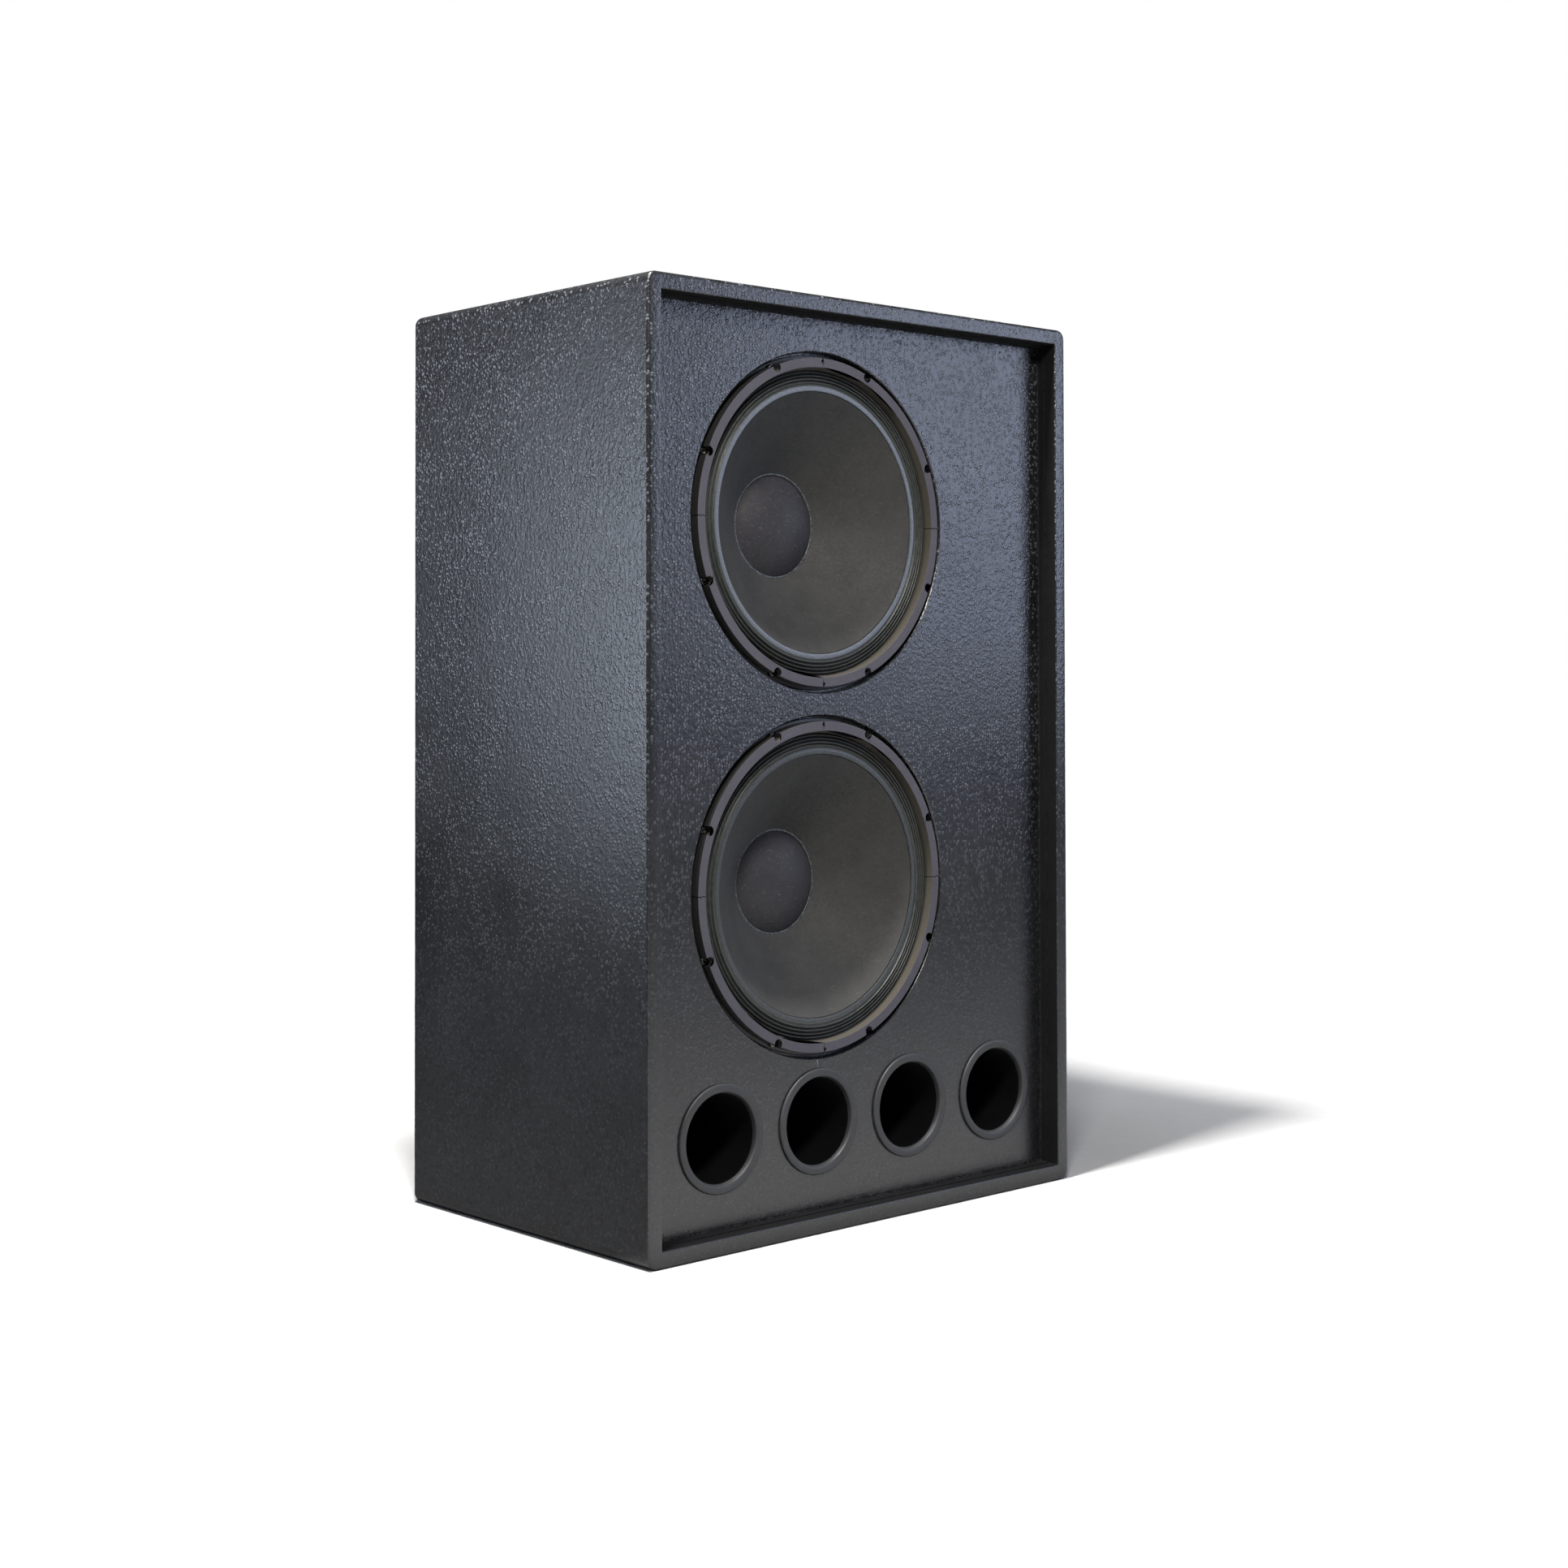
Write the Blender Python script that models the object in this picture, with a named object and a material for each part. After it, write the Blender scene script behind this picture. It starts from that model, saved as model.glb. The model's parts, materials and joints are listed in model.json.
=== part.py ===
"""Loudspeaker cabinet for a sound system: a plywood box with two 15-inch bass drivers and four ports.

Units are metres. The origin is the middle of the base, +Z is up, and the front faces -Y.
A turned piece of a driver or a port is drawn as (radius, out): its distance from the axis, and how far
it stands out from the baffle's face, so pieces behind that face have a negative out.
"""

import math

import bmesh
import bpy

# Overall sizes of the box
BOX_WIDTH = 0.667
BOX_DEPTH = 0.441
BOX_HEIGHT = 1.050

# Panels and their joints
WALL = 0.020  # 18 mm plywood with its coating
CONTACT_GAP = 0.0003  # between two pieces that touch
LONG_EDGE_RADIUS = 0.012  # the four edges that run front to back
END_EDGE_RADIUS = 0.004  # the outer edges round the front and the back
BAFFLE_RECESS = 0.027  # baffle's face behind the front edges
BAFFLE_THICKNESS = 0.024
GRILLE_REBATE_WIDTH = 0.0014  # step in the walls of the recess, where a grille would seat
GRILLE_REBATE_DEPTH = 0.017
BACK_THICKNESS = 0.018
BACK_INSET = 0.006
BATTEN = 0.020
BRACE_THICKNESS = 0.018
BRACE_RIM = 0.065  # wood left round the brace's windows
BRACE_WINDOW_RADIUS = 0.030

# Places of the drivers and the ports
DRIVER_X = -0.058  # both drivers stand left of the middle
UPPER_DRIVER_DROP = 0.254  # below the top of the box
LOWER_DRIVER_HEIGHT = 0.383
PORT_COUNT = 4
PORT_PITCH = 0.146
PORT_ROW_X = 0.008  # middle of the row
PORT_HEIGHT = 0.1185

# Driver: frame, gasket and surround
FRAME_RADIUS = 0.191
FRAME_CLEARANCE = 0.0022
FRAME_PLATE = 0.003  # thickness of the frame's metal
FLANGE_WIDTH = 0.0155
FRAME_WINDOW_ANGLE = 34  # degrees, for each window in the sloping wall
FRAME_HOOP = 0.008  # metal left above the windows
FRAME_FOOT = 0.011  # metal left below them
GASKET_INSET = 0.004  # frame's rim outside the gasket
GASKET_WIDTH = 0.011
GASKET_DRAFT = 0.002  # slope of the gasket's inner wall
GASKET_PROUD = 0.0031  # above the baffle's face
GASKET_THICKNESS = 0.0123
SURROUND_START = 0.003  # first roll inside the gasket's face
SURROUND_WIDTH = 0.017  # across the rolls
SURROUND_THICKNESS = 0.0008
SURROUND_ROLLS = 3
SURROUND_CREST = 0.0018  # above the flat lap
SURROUND_DIP = 0.0006  # below it
BOLT_COUNT = 8
BOLT_INSET = 0.0065  # bolt circle inside the frame's edge
BOLT_SHANK_RADIUS = 0.0022
BOLT_HEAD_RADIUS = 0.0042
BOLT_HEAD_HEIGHT = 0.0035
BOLT_HEAD_CHAMFER = 0.0009
BOLT_TIP_COVER = 0.002  # wood left behind a bolt's tip
NOTCH_CLEARANCE = 0.0008
LAP_MARGIN = 0.0012  # gasket between the surround's edge and a notch

# Driver: cone, voice coil and spider
APRON_WIDTH = 0.0075  # flat rim of the cone, under the surround's glued edge
CONE_SLOPE = 0.8205
CONE_THICKNESS = 0.0018
COIL_RADIUS = 0.0504
COIL_THICKNESS = 0.0014
COIL_LENGTH = 0.047
CAP_OVERHANG = 0.0091  # dust cap beyond the coil
CAP_HEIGHT = 0.020
CAP_THICKNESS = 0.0012
SPIDER_RADIUS = 0.096
SPIDER_THICKNESS = 0.0008
SPIDER_LAP = 0.005  # flat ring glued to the coil
SPIDER_WAVES = 5
SPIDER_SWING = 0.0022
SPIDER_ROOM = 0.020  # depth below the spider for its travel

# Driver: magnet
LEDGE_RADIUS = 0.101  # shelf that the spider stands on
RISER_RADIUS = 0.080
PLATE_RADIUS = 0.095
TOP_PLATE_THICKNESS = 0.008
MAGNET_RADIUS = 0.098
MAGNET_THICKNESS = 0.022
MAGNET_BORE_CLEARANCE = 0.0096
YOKE_THICKNESS = 0.0115
VENT_RADIUS = 0.020
COIL_CLEARANCE = 0.0014
STRIP_LENGTH = 0.032
STRIP_HEIGHT = 0.012
STRIP_DEPTH = 0.009

# Ports
PORT_BORE = 0.049
PORT_WALL = 0.003
PORT_LENGTH = 0.140
PORT_FLANGE_WIDTH = 0.008
PORT_FLANGE_HEIGHT = 0.0034
PORT_FLANGE_EDGE = 0.0020  # rounding of the flange's outer edge
PORT_THROAT = 0.0017  # rounding into the bore

# Connector plate on the back
INPUT_X = 0.120
INPUT_HEIGHT = 0.240
INPUT_WIDTH = 0.120
INPUT_TALL = 0.070
INPUT_LAP = 0.011  # plate beyond its cut-out
INPUT_THICKNESS = 0.002
SOCKET_PITCH = 0.044
SOCKET_BORE = 0.0100
SOCKET_WALL = 0.002
SOCKET_DEPTH = 0.024
SOCKET_FLANGE = 0.0025
SOCKET_FLANGE_WIDTH = 0.003

# Leads and wadding
LEAD_DIAMETER = 0.006
WADDING_THICKNESS = 0.030
WADDING_WIDTH = 0.480
WADDING_MARGIN = 0.030  # clear of the brace and the top

SEEN_SEGMENTS = 32  # round pieces that show
HIDDEN_SEGMENTS = 24  # round pieces inside the box
SMALL_SEGMENTS = 8
SMOOTH_ANGLE = math.radians(35)  # sharper edges stay crisp in shading

# Worked out from the sizes above
FRONT_Y = -BOX_DEPTH / 2
BAFFLE_Y = FRONT_Y + BAFFLE_RECESS
BAFFLE_BACK_Y = BAFFLE_Y + BAFFLE_THICKNESS
BACK_Y = BOX_DEPTH / 2 - BACK_INSET
BACK_INNER_Y = BACK_Y - BACK_THICKNESS
INNER_X = BOX_WIDTH / 2 - WALL
DRIVER_HEIGHTS = {"upper": BOX_HEIGHT - UPPER_DRIVER_DROP, "lower": LOWER_DRIVER_HEIGHT}
BRACE_MIDDLE = sum(DRIVER_HEIGHTS.values()) / 2

GASKET_RADIUS = FRAME_RADIUS - GASKET_INSET
BOLT_CIRCLE_RADIUS = FRAME_RADIUS - BOLT_INSET
SURROUND_OUTER = GASKET_RADIUS - GASKET_WIDTH - SURROUND_START
CONE_RADIUS = SURROUND_OUTER - SURROUND_WIDTH
GASKET_BOTTOM = GASKET_PROUD - GASKET_THICKNESS
FLANGE_TOP = GASKET_BOTTOM - CONTACT_GAP
FLANGE_BOTTOM = FLANGE_TOP - FRAME_PLATE
REBATE_BOTTOM = FLANGE_BOTTOM - CONTACT_GAP
FRAME_INNER = FRAME_RADIUS - FLANGE_WIDTH
CUTOUT_RADIUS = FRAME_INNER + FRAME_PLATE + FRAME_CLEARANCE
NOTCH_RADIUS = BOLT_HEAD_RADIUS + NOTCH_CLEARANCE
LAP_RADIUS = BOLT_CIRCLE_RADIUS - NOTCH_RADIUS - LAP_MARGIN  # surround under the gasket
SURROUND_TOP = FLANGE_TOP + CONTACT_GAP + SURROUND_THICKNESS
RIM_OUT = SURROUND_TOP - SURROUND_THICKNESS - CONTACT_GAP  # cone's flat rim
CONE_FLAT = CONE_RADIUS - APRON_WIDTH
NECK_RADIUS = COIL_RADIUS + 2 * CONTACT_GAP
SPIDER_TOP = RIM_OUT - CONE_SLOPE * (CONE_FLAT - NECK_RADIUS) - 2 * CONE_THICKNESS
LEDGE_OUT = SPIDER_TOP - SPIDER_THICKNESS - CONTACT_GAP
PLATE_TOP = LEDGE_OUT - FRAME_PLATE - SPIDER_ROOM
MAGNET_TOP = PLATE_TOP - FRAME_PLATE - TOP_PLATE_THICKNESS - 2 * CONTACT_GAP
YOKE_TOP = MAGNET_TOP - MAGNET_THICKNESS - CONTACT_GAP
POLE_RADIUS = COIL_RADIUS - COIL_THICKNESS - COIL_CLEARANCE


def clear_scene():
    for old in list(bpy.data.objects):
        bpy.data.objects.remove(old, do_unlink=True)


def make_material(name, color, roughness, metallic=0.0):
    material = bpy.data.materials.new(name)
    material.use_nodes = True
    shader = material.node_tree.nodes["Principled BSDF"]
    shader.inputs["Base Color"].default_value = (*color, 1.0)
    shader.inputs["Roughness"].default_value = roughness
    shader.inputs["Metallic"].default_value = metallic
    return material


def add_object(name, data, material, location=(0, 0, 0)):
    obj = bpy.data.objects.new(name, data)
    bpy.context.scene.collection.objects.link(obj)
    obj.location = location
    obj.data.materials.append(material)
    return obj


def finished_mesh(name, bm):
    """A mesh from bm with its faces turned outwards, shaded smooth except at its sharp edges."""
    bmesh.ops.recalc_face_normals(bm, faces=bm.faces)
    mesh = bpy.data.meshes.new(name)
    bm.to_mesh(mesh)
    bm.free()
    mesh.shade_smooth()
    mesh.set_sharp_from_angle(angle=SMOOTH_ANGLE)
    return mesh


def turned(name, profile, segments):
    """A mesh turned about the Y axis from (radius, out) points. A profile that starts and ends on the
    axis stays open there; any other one is closed."""
    bm = bmesh.new()
    points = [bm.verts.new((radius, -out, 0)) for radius, out in profile]
    edges = [bm.edges.new(pair) for pair in zip(points, points[1:])]
    if profile[0][0] > 0:
        edges.append(bm.edges.new((points[-1], points[0])))
    bmesh.ops.spin(
        bm, geom=points + edges, cent=(0, 0, 0), axis=(0, 1, 0), angle=math.tau, steps=segments
    )
    bmesh.ops.remove_doubles(bm, verts=bm.verts, dist=1e-6)
    return finished_mesh(name, bm)


def extruded(name, outline, low, high, axis="Y"):
    """A mesh made by extruding an outline from low to high along axis. Along Y an outline point is
    (x, z), and along Z it is (x, y)."""
    place = {
        "Y": lambda u, v, w: (u, w, v),
        "Z": lambda u, v, w: (u, v, w),
    }[axis]
    bm = bmesh.new()
    face = bm.faces.new([bm.verts.new(place(u, v, low)) for u, v in outline])
    grown = bmesh.ops.extrude_face_region(bm, geom=[face])
    moved = [item for item in grown["geom"] if isinstance(item, bmesh.types.BMVert)]
    bmesh.ops.translate(bm, verts=moved, vec=place(0, 0, high - low))
    return finished_mesh(name, bm)


def box_mesh(name, low, high):
    outline = [(low[0], low[2]), (high[0], low[2]), (high[0], high[2]), (low[0], high[2])]
    return extruded(name, outline, low[1], high[1])


def arc(centre, radius, start, end, steps):
    """Points along an arc, with its angles in degrees."""
    angles = [math.radians(start + (end - start) * i / steps) for i in range(steps + 1)]
    return [(centre[0] + radius * math.cos(a), centre[1] + radius * math.sin(a)) for a in angles]


def rounded_rectangle(middle, width, height, radius, steps=4):
    across, up = width / 2 - radius, height / 2 - radius
    corners = ((across, up, 0), (-across, up, 90), (-across, -up, 180), (across, -up, 270))
    points = []
    for u, v, start in corners:
        points += arc((middle[0] + u, middle[1] + v), radius, start, start + 90, steps)
    return points


def joined(name, meshes):
    """One mesh that holds several, for a cutter with many holes. Each entry is (mesh, offset)."""
    bm = bmesh.new()
    for mesh, offset in meshes:
        before = len(bm.verts)
        bm.from_mesh(mesh)
        bm.verts.ensure_lookup_table()
        bmesh.ops.translate(bm, verts=bm.verts[before:], vec=offset)
    return finished_mesh(name, bm)


def cut(obj, name, mesh, location=(0, 0, 0)):
    """Takes mesh out of obj with a Boolean. The cutter is a hidden helper."""
    cutter = bpy.data.objects.new(name, mesh)
    bpy.context.scene.collection.objects.link(cutter)
    cutter.location = location
    cutter.hide_render = True
    cutter.display_type = "WIRE"
    modifier = obj.modifiers.new(name, "BOOLEAN")
    modifier.operation = "DIFFERENCE"
    modifier.solver = "EXACT"
    modifier.object = cutter


def round_edges(mesh, wanted, radius, segments=3):
    """Rounds the edges of mesh whose two ends both pass the test wanted."""
    bm = bmesh.new()
    bm.from_mesh(mesh)
    edges = [edge for edge in bm.edges if all(wanted(point.co) for point in edge.verts)]
    bmesh.ops.bevel(
        bm, geom=edges, offset=radius, segments=segments, profile=0.5, affect="EDGES",
        clamp_overlap=True,
    )
    bmesh.ops.recalc_face_normals(bm, faces=bm.faces)
    bm.to_mesh(mesh)
    bm.free()
    mesh.shade_smooth()
    mesh.set_sharp_from_angle(angle=SMOOTH_ANGLE)


def at_end(point):
    return abs(abs(point.y) - BOX_DEPTH / 2) < CONTACT_GAP


def grille_rebate():
    """The shallow step that a grille would seat in, as a cutter for the four walls."""
    across = INNER_X + GRILLE_REBATE_WIDTH
    low = (-across, FRONT_Y - WALL, WALL - GRILLE_REBATE_WIDTH)
    high = (across, FRONT_Y + GRILLE_REBATE_DEPTH, BOX_HEIGHT - WALL + GRILLE_REBATE_WIDTH)
    return box_mesh("grille_rebate", low, high)


def make_walls(coating):
    """Two sides of full height, with the top and the bottom between them."""
    outer, corner = BOX_WIDTH / 2, LONG_EDGE_RADIUS
    outline = [(INNER_X, BOX_HEIGHT), (INNER_X, 0)]
    outline += arc((outer - corner, corner), corner, 270, 360, 4)
    outline += arc((outer - corner, BOX_HEIGHT - corner), corner, 0, 90, 4)
    for side, name in ((-1, "left_side_panel"), (1, "right_side_panel")):
        mesh = extruded(name, [(side * x, z) for x, z in outline], FRONT_Y, -FRONT_Y)
        round_edges(
            mesh,
            lambda p: at_end(p) and (
                abs(p.x) > INNER_X + CONTACT_GAP or min(p.z, BOX_HEIGHT - p.z) < CONTACT_GAP
            ),
            END_EDGE_RADIUS,
        )
        cut(add_object(name, mesh, coating), name + "_rebate", grille_rebate())
    across = INNER_X - CONTACT_GAP
    for name, low, outside in (
        ("bottom_panel", 0, 0),
        ("top_panel", BOX_HEIGHT - WALL, BOX_HEIGHT),
    ):
        mesh = box_mesh(name, (-across, FRONT_Y, low), (across, -FRONT_Y, low + WALL))
        round_edges(
            mesh, lambda p, z=outside: at_end(p) and abs(p.z - z) < CONTACT_GAP, END_EDGE_RADIUS
        )
        cut(add_object(name, mesh, coating), name + "_rebate", grille_rebate())


def bolt_places(radius=BOLT_CIRCLE_RADIUS):
    """The (x, z) places of a driver's bolts, round its own axis."""
    step = math.tau / BOLT_COUNT
    return [
        (radius * math.cos((i + 0.5) * step), radius * math.sin((i + 0.5) * step))
        for i in range(BOLT_COUNT)
    ]


def port_places():
    first = PORT_ROW_X - PORT_PITCH * (PORT_COUNT - 1) / 2
    return [first + PORT_PITCH * i for i in range(PORT_COUNT)]


def make_baffle(coating):
    low = (-INNER_X + CONTACT_GAP, BAFFLE_Y, WALL + CONTACT_GAP)
    high = (INNER_X - CONTACT_GAP, BAFFLE_BACK_Y, BOX_HEIGHT - WALL - CONTACT_GAP)
    baffle = add_object("front_baffle", box_mesh("front_baffle", low, high), coating)
    rebate = FRAME_RADIUS + FRAME_CLEARANCE
    behind = -BAFFLE_THICKNESS - WALL
    seat = turned(
        "driver_seat",
        [(0, WALL), (rebate, WALL), (rebate, REBATE_BOTTOM), (CUTOUT_RADIUS, REBATE_BOTTOM),
         (CUTOUT_RADIUS, behind), (0, behind)],
        SEEN_SEGMENTS,
    )
    port_hole = PORT_BORE + PORT_WALL + CONTACT_GAP
    hole = turned(
        "port_hole", [(0, WALL), (port_hole, WALL), (port_hole, behind), (0, behind)],
        HIDDEN_SEGMENTS,
    )
    openings = [(seat, (DRIVER_X, BAFFLE_Y, height)) for height in DRIVER_HEIGHTS.values()]
    openings += [(hole, (x, BAFFLE_Y, PORT_HEIGHT)) for x in port_places()]
    cut(baffle, "baffle_openings", joined("baffle_openings", openings))
    pilot_radius = BOLT_SHANK_RADIUS + CONTACT_GAP
    pilot_end = BOLT_TIP_COVER - BAFFLE_THICKNESS - CONTACT_GAP
    pilot_start = REBATE_BOTTOM / 2
    pilot = turned(
        "pilot_hole",
        [(0, pilot_start), (pilot_radius, pilot_start), (pilot_radius, pilot_end), (0, pilot_end)],
        SMALL_SEGMENTS,
    )
    pilots = [
        (pilot, (DRIVER_X + x, BAFFLE_Y, height + z))
        for height in DRIVER_HEIGHTS.values()
        for x, z in bolt_places()
    ]
    cut(baffle, "pilot_holes", joined("pilot_holes", pilots))


def make_back(coating):
    low = (-INNER_X + CONTACT_GAP, BACK_INNER_Y, WALL + CONTACT_GAP)
    high = (INNER_X - CONTACT_GAP, BACK_Y, BOX_HEIGHT - WALL - CONTACT_GAP)
    back = add_object("back_panel", box_mesh("back_panel", low, high), coating)
    window = rounded_rectangle(
        (INPUT_X, INPUT_HEIGHT), INPUT_WIDTH - 2 * INPUT_LAP, INPUT_TALL - 2 * INPUT_LAP, INPUT_LAP
    )
    mesh = extruded("input_cutout", window, BACK_INNER_Y - WALL, BACK_Y + WALL)
    cut(back, "input_cutout", mesh)


def make_battens(wood):
    """Glue blocks in the four upright corners, behind the baffle and in front of the back."""
    rows = {
        "front": (BAFFLE_BACK_Y + CONTACT_GAP, BAFFLE_BACK_Y + CONTACT_GAP + BATTEN),
        "back": (BACK_INNER_Y - CONTACT_GAP - BATTEN, BACK_INNER_Y - CONTACT_GAP),
    }
    inner, outer = INNER_X - CONTACT_GAP - BATTEN, INNER_X - CONTACT_GAP
    for row, (near, far) in rows.items():
        for side, (west, east) in {"left": (-outer, -inner), "right": (inner, outer)}.items():
            name = f"{side}_{row}_batten"
            low = (west, near, WALL + CONTACT_GAP)
            high = (east, far, BOX_HEIGHT - WALL - CONTACT_GAP)
            add_object(name, box_mesh(name, low, high), wood)


def make_brace(wood):
    """A shelf between the drivers, notched round the battens, with two windows for the air."""
    across, notch = INNER_X - CONTACT_GAP, BATTEN + 2 * CONTACT_GAP
    near, far = BAFFLE_BACK_Y + CONTACT_GAP, BACK_INNER_Y - CONTACT_GAP
    outline = [
        (-across + notch, near), (across - notch, near), (across - notch, near + notch),
        (across, near + notch), (across, far - notch), (across - notch, far - notch),
        (across - notch, far), (-across + notch, far), (-across + notch, far - notch),
        (-across, far - notch), (-across, near + notch), (-across + notch, near + notch),
    ]
    low, high = BRACE_MIDDLE - BRACE_THICKNESS / 2, BRACE_MIDDLE + BRACE_THICKNESS / 2
    brace = add_object("window_brace", extruded("window_brace", outline, low, high, "Z"), wood)
    width = across - BRACE_RIM - BRACE_RIM / 2
    depth = far - near - 2 * BRACE_RIM
    for side in (-1, 1):
        middle = (side * (BRACE_RIM / 2 + width / 2), (near + far) / 2)
        window = rounded_rectangle(middle, width, depth, BRACE_WINDOW_RADIUS)
        name = f"brace_window_{'left' if side < 0 else 'right'}"
        cut(brace, name, extruded(name, window, low - WALL, high + WALL, "Z"))


def make_basket(name, place, paint):
    """The driver's metal frame: a flange, a sloping wall with windows, and a shelf for the spider."""
    wall, plate = FRAME_INNER, FRAME_PLATE
    slope_start = -BAFFLE_THICKNESS - plate
    plate_inner = COIL_RADIUS + 2 * plate
    profile = [
        (FRAME_RADIUS, FLANGE_TOP), (FRAME_RADIUS, FLANGE_BOTTOM),
        (wall + plate, FLANGE_BOTTOM), (wall + plate, slope_start),
        (LEDGE_RADIUS + plate, LEDGE_OUT - plate), (RISER_RADIUS + plate, LEDGE_OUT - plate),
        (RISER_RADIUS + plate, PLATE_TOP - plate), (plate_inner, PLATE_TOP - plate),
        (plate_inner, PLATE_TOP), (RISER_RADIUS, PLATE_TOP),
        (RISER_RADIUS, LEDGE_OUT), (LEDGE_RADIUS, LEDGE_OUT),
        (wall, slope_start + plate / 2), (wall, FLANGE_TOP),
    ]
    basket = add_object(name, turned(name, profile, HIDDEN_SEGMENTS), paint, place)
    half_angle = math.radians(FRAME_WINDOW_ANGLE / 2)
    inner, outer = RISER_RADIUS + plate, FRAME_RADIUS
    wedge = [
        (inner, -inner * math.tan(half_angle)), (outer, -outer * math.tan(half_angle)),
        (outer, outer * math.tan(half_angle)), (inner, inner * math.tan(half_angle)),
    ]
    windows = []
    for i in range(BOLT_COUNT):
        turn = math.tau * i / BOLT_COUNT
        outline = [
            (u * math.cos(turn) - v * math.sin(turn), u * math.sin(turn) + v * math.cos(turn))
            for u, v in wedge
        ]
        mesh = extruded("wedge", outline, FRAME_HOOP - slope_start, -LEDGE_OUT - FRAME_FOOT)
        windows.append((mesh, (0, 0, 0)))
    cut(basket, name + "_windows", joined(name + "_windows", windows), place)
    hole_radius = BOLT_SHANK_RADIUS + 2 * CONTACT_GAP
    start, end = FLANGE_TOP + plate, FLANGE_BOTTOM - plate
    hole = turned(
        "bolt_hole", [(0, start), (hole_radius, start), (hole_radius, end), (0, end)],
        SMALL_SEGMENTS,
    )
    holes = [(hole, (x, 0, z)) for x, z in bolt_places()]
    cut(basket, name + "_bolt_holes", joined(name + "_bolt_holes", holes), place)


def make_gasket(name, place, fibre):
    """The raised ring over the surround's edge, with a notch round each bolt's head."""
    inner = GASKET_RADIUS - GASKET_WIDTH
    lap_top = SURROUND_TOP + CONTACT_GAP
    profile = [
        (GASKET_RADIUS, GASKET_PROUD), (GASKET_RADIUS, GASKET_BOTTOM),
        (LAP_RADIUS + CONTACT_GAP, GASKET_BOTTOM), (LAP_RADIUS + CONTACT_GAP, lap_top),
        (inner - GASKET_DRAFT, lap_top), (inner, GASKET_PROUD),
    ]
    gasket = add_object(name, turned(name, profile, SEEN_SEGMENTS), fibre, place)
    notches = []
    step = 360 / BOLT_COUNT
    for i, (x, z) in enumerate(bolt_places()):
        angle = (i + 0.5) * step
        outline = arc((x, z), NOTCH_RADIUS, angle + 90, angle + 270, 6)
        reach = GASKET_RADIUS - BOLT_CIRCLE_RADIUS + NOTCH_RADIUS
        away = (reach * math.cos(math.radians(angle)), reach * math.sin(math.radians(angle)))
        outline += [(u + away[0], v + away[1]) for u, v in (outline[-1], outline[0])]
        mesh = extruded("notch", outline, -GASKET_PROUD - WALL, -GASKET_BOTTOM + WALL)
        notches.append((mesh, (0, 0, 0)))
    cut(gasket, name + "_notches", joined(name + "_notches", notches), place)


def make_bolts(prefix, place, steel):
    tip = BOLT_TIP_COVER - BAFFLE_THICKNESS
    seat = FLANGE_TOP + CONTACT_GAP
    top = seat + BOLT_HEAD_HEIGHT
    profile = [
        (0, top), (BOLT_HEAD_RADIUS - BOLT_HEAD_CHAMFER, top),
        (BOLT_HEAD_RADIUS, top - BOLT_HEAD_CHAMFER),
        (BOLT_HEAD_RADIUS, seat), (BOLT_SHANK_RADIUS, seat), (BOLT_SHANK_RADIUS, tip), (0, tip),
    ]
    mesh = turned(prefix + "_bolt", profile, SMALL_SEGMENTS)
    mesh.materials.append(steel)
    for i, (x, z) in enumerate(bolt_places()):
        bolt = bpy.data.objects.new(f"{prefix}_bolt_{i + 1}", mesh)
        bpy.context.scene.collection.objects.link(bolt)
        bolt.location = (place[0] + x, place[1], place[2] + z)


def sheet_profile(top_line, thickness):
    """A closed profile from the upper line of a thin sheet."""
    return list(top_line) + [(radius, out - thickness) for radius, out in reversed(top_line)]


def make_surround(name, parent, cloth):
    """The pleated cloth edge, from under the gasket to the cone's rim."""
    pitch = SURROUND_WIDTH / SURROUND_ROLLS
    crest, dip = 0.3 * pitch, 0.75 * pitch
    line = [(LAP_RADIUS, SURROUND_TOP), (SURROUND_OUTER, SURROUND_TOP)]
    for i in range(SURROUND_ROLLS):
        start = SURROUND_OUTER - i * pitch
        line.append((start - crest, SURROUND_TOP + SURROUND_CREST))
        line.append((start - dip, SURROUND_TOP - SURROUND_DIP))
    line += [(CONE_RADIUS, SURROUND_TOP), (CONE_FLAT + 2 * CONTACT_GAP, SURROUND_TOP)]
    mesh = turned(name, sheet_profile(line, SURROUND_THICKNESS), SEEN_SEGMENTS)
    add_object(name, mesh, cloth).parent = parent


def cone_out(radius):
    """How far out the cone's front surface is at a radius."""
    return RIM_OUT - CONE_SLOPE * (CONE_FLAT - radius)


def make_cone(name, parent, paper):
    line = [(CONE_RADIUS, RIM_OUT), (CONE_FLAT, RIM_OUT), (NECK_RADIUS, cone_out(NECK_RADIUS))]
    mesh = turned(name, sheet_profile(line, CONE_THICKNESS), SEEN_SEGMENTS)
    add_object(name, mesh, paper).parent = parent


def make_dust_cap(name, parent, felt):
    """A shallow dome on the cone, over the coil."""
    rim = COIL_RADIUS + CAP_OVERHANG
    base = cone_out(rim) + 2 * CONTACT_GAP
    ball = (rim**2 + CAP_HEIGHT**2) / (2 * CAP_HEIGHT)
    span = math.asin(rim / ball)
    centre = base + CAP_HEIGHT - ball
    steps = 4
    angles = [span * i / steps for i in range(steps + 1)]
    outside = [(ball * math.sin(a), centre + ball * math.cos(a)) for a in angles]
    shell = ball - CAP_THICKNESS
    inside = [(shell * math.sin(a), centre + shell * math.cos(a)) for a in reversed(angles)]
    mesh = turned(name, outside + inside, SEEN_SEGMENTS)
    add_object(name, mesh, felt).parent = parent


def ring(outer, inner, top, bottom):
    return [(outer, top), (outer, bottom), (inner, bottom), (inner, top)]


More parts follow.
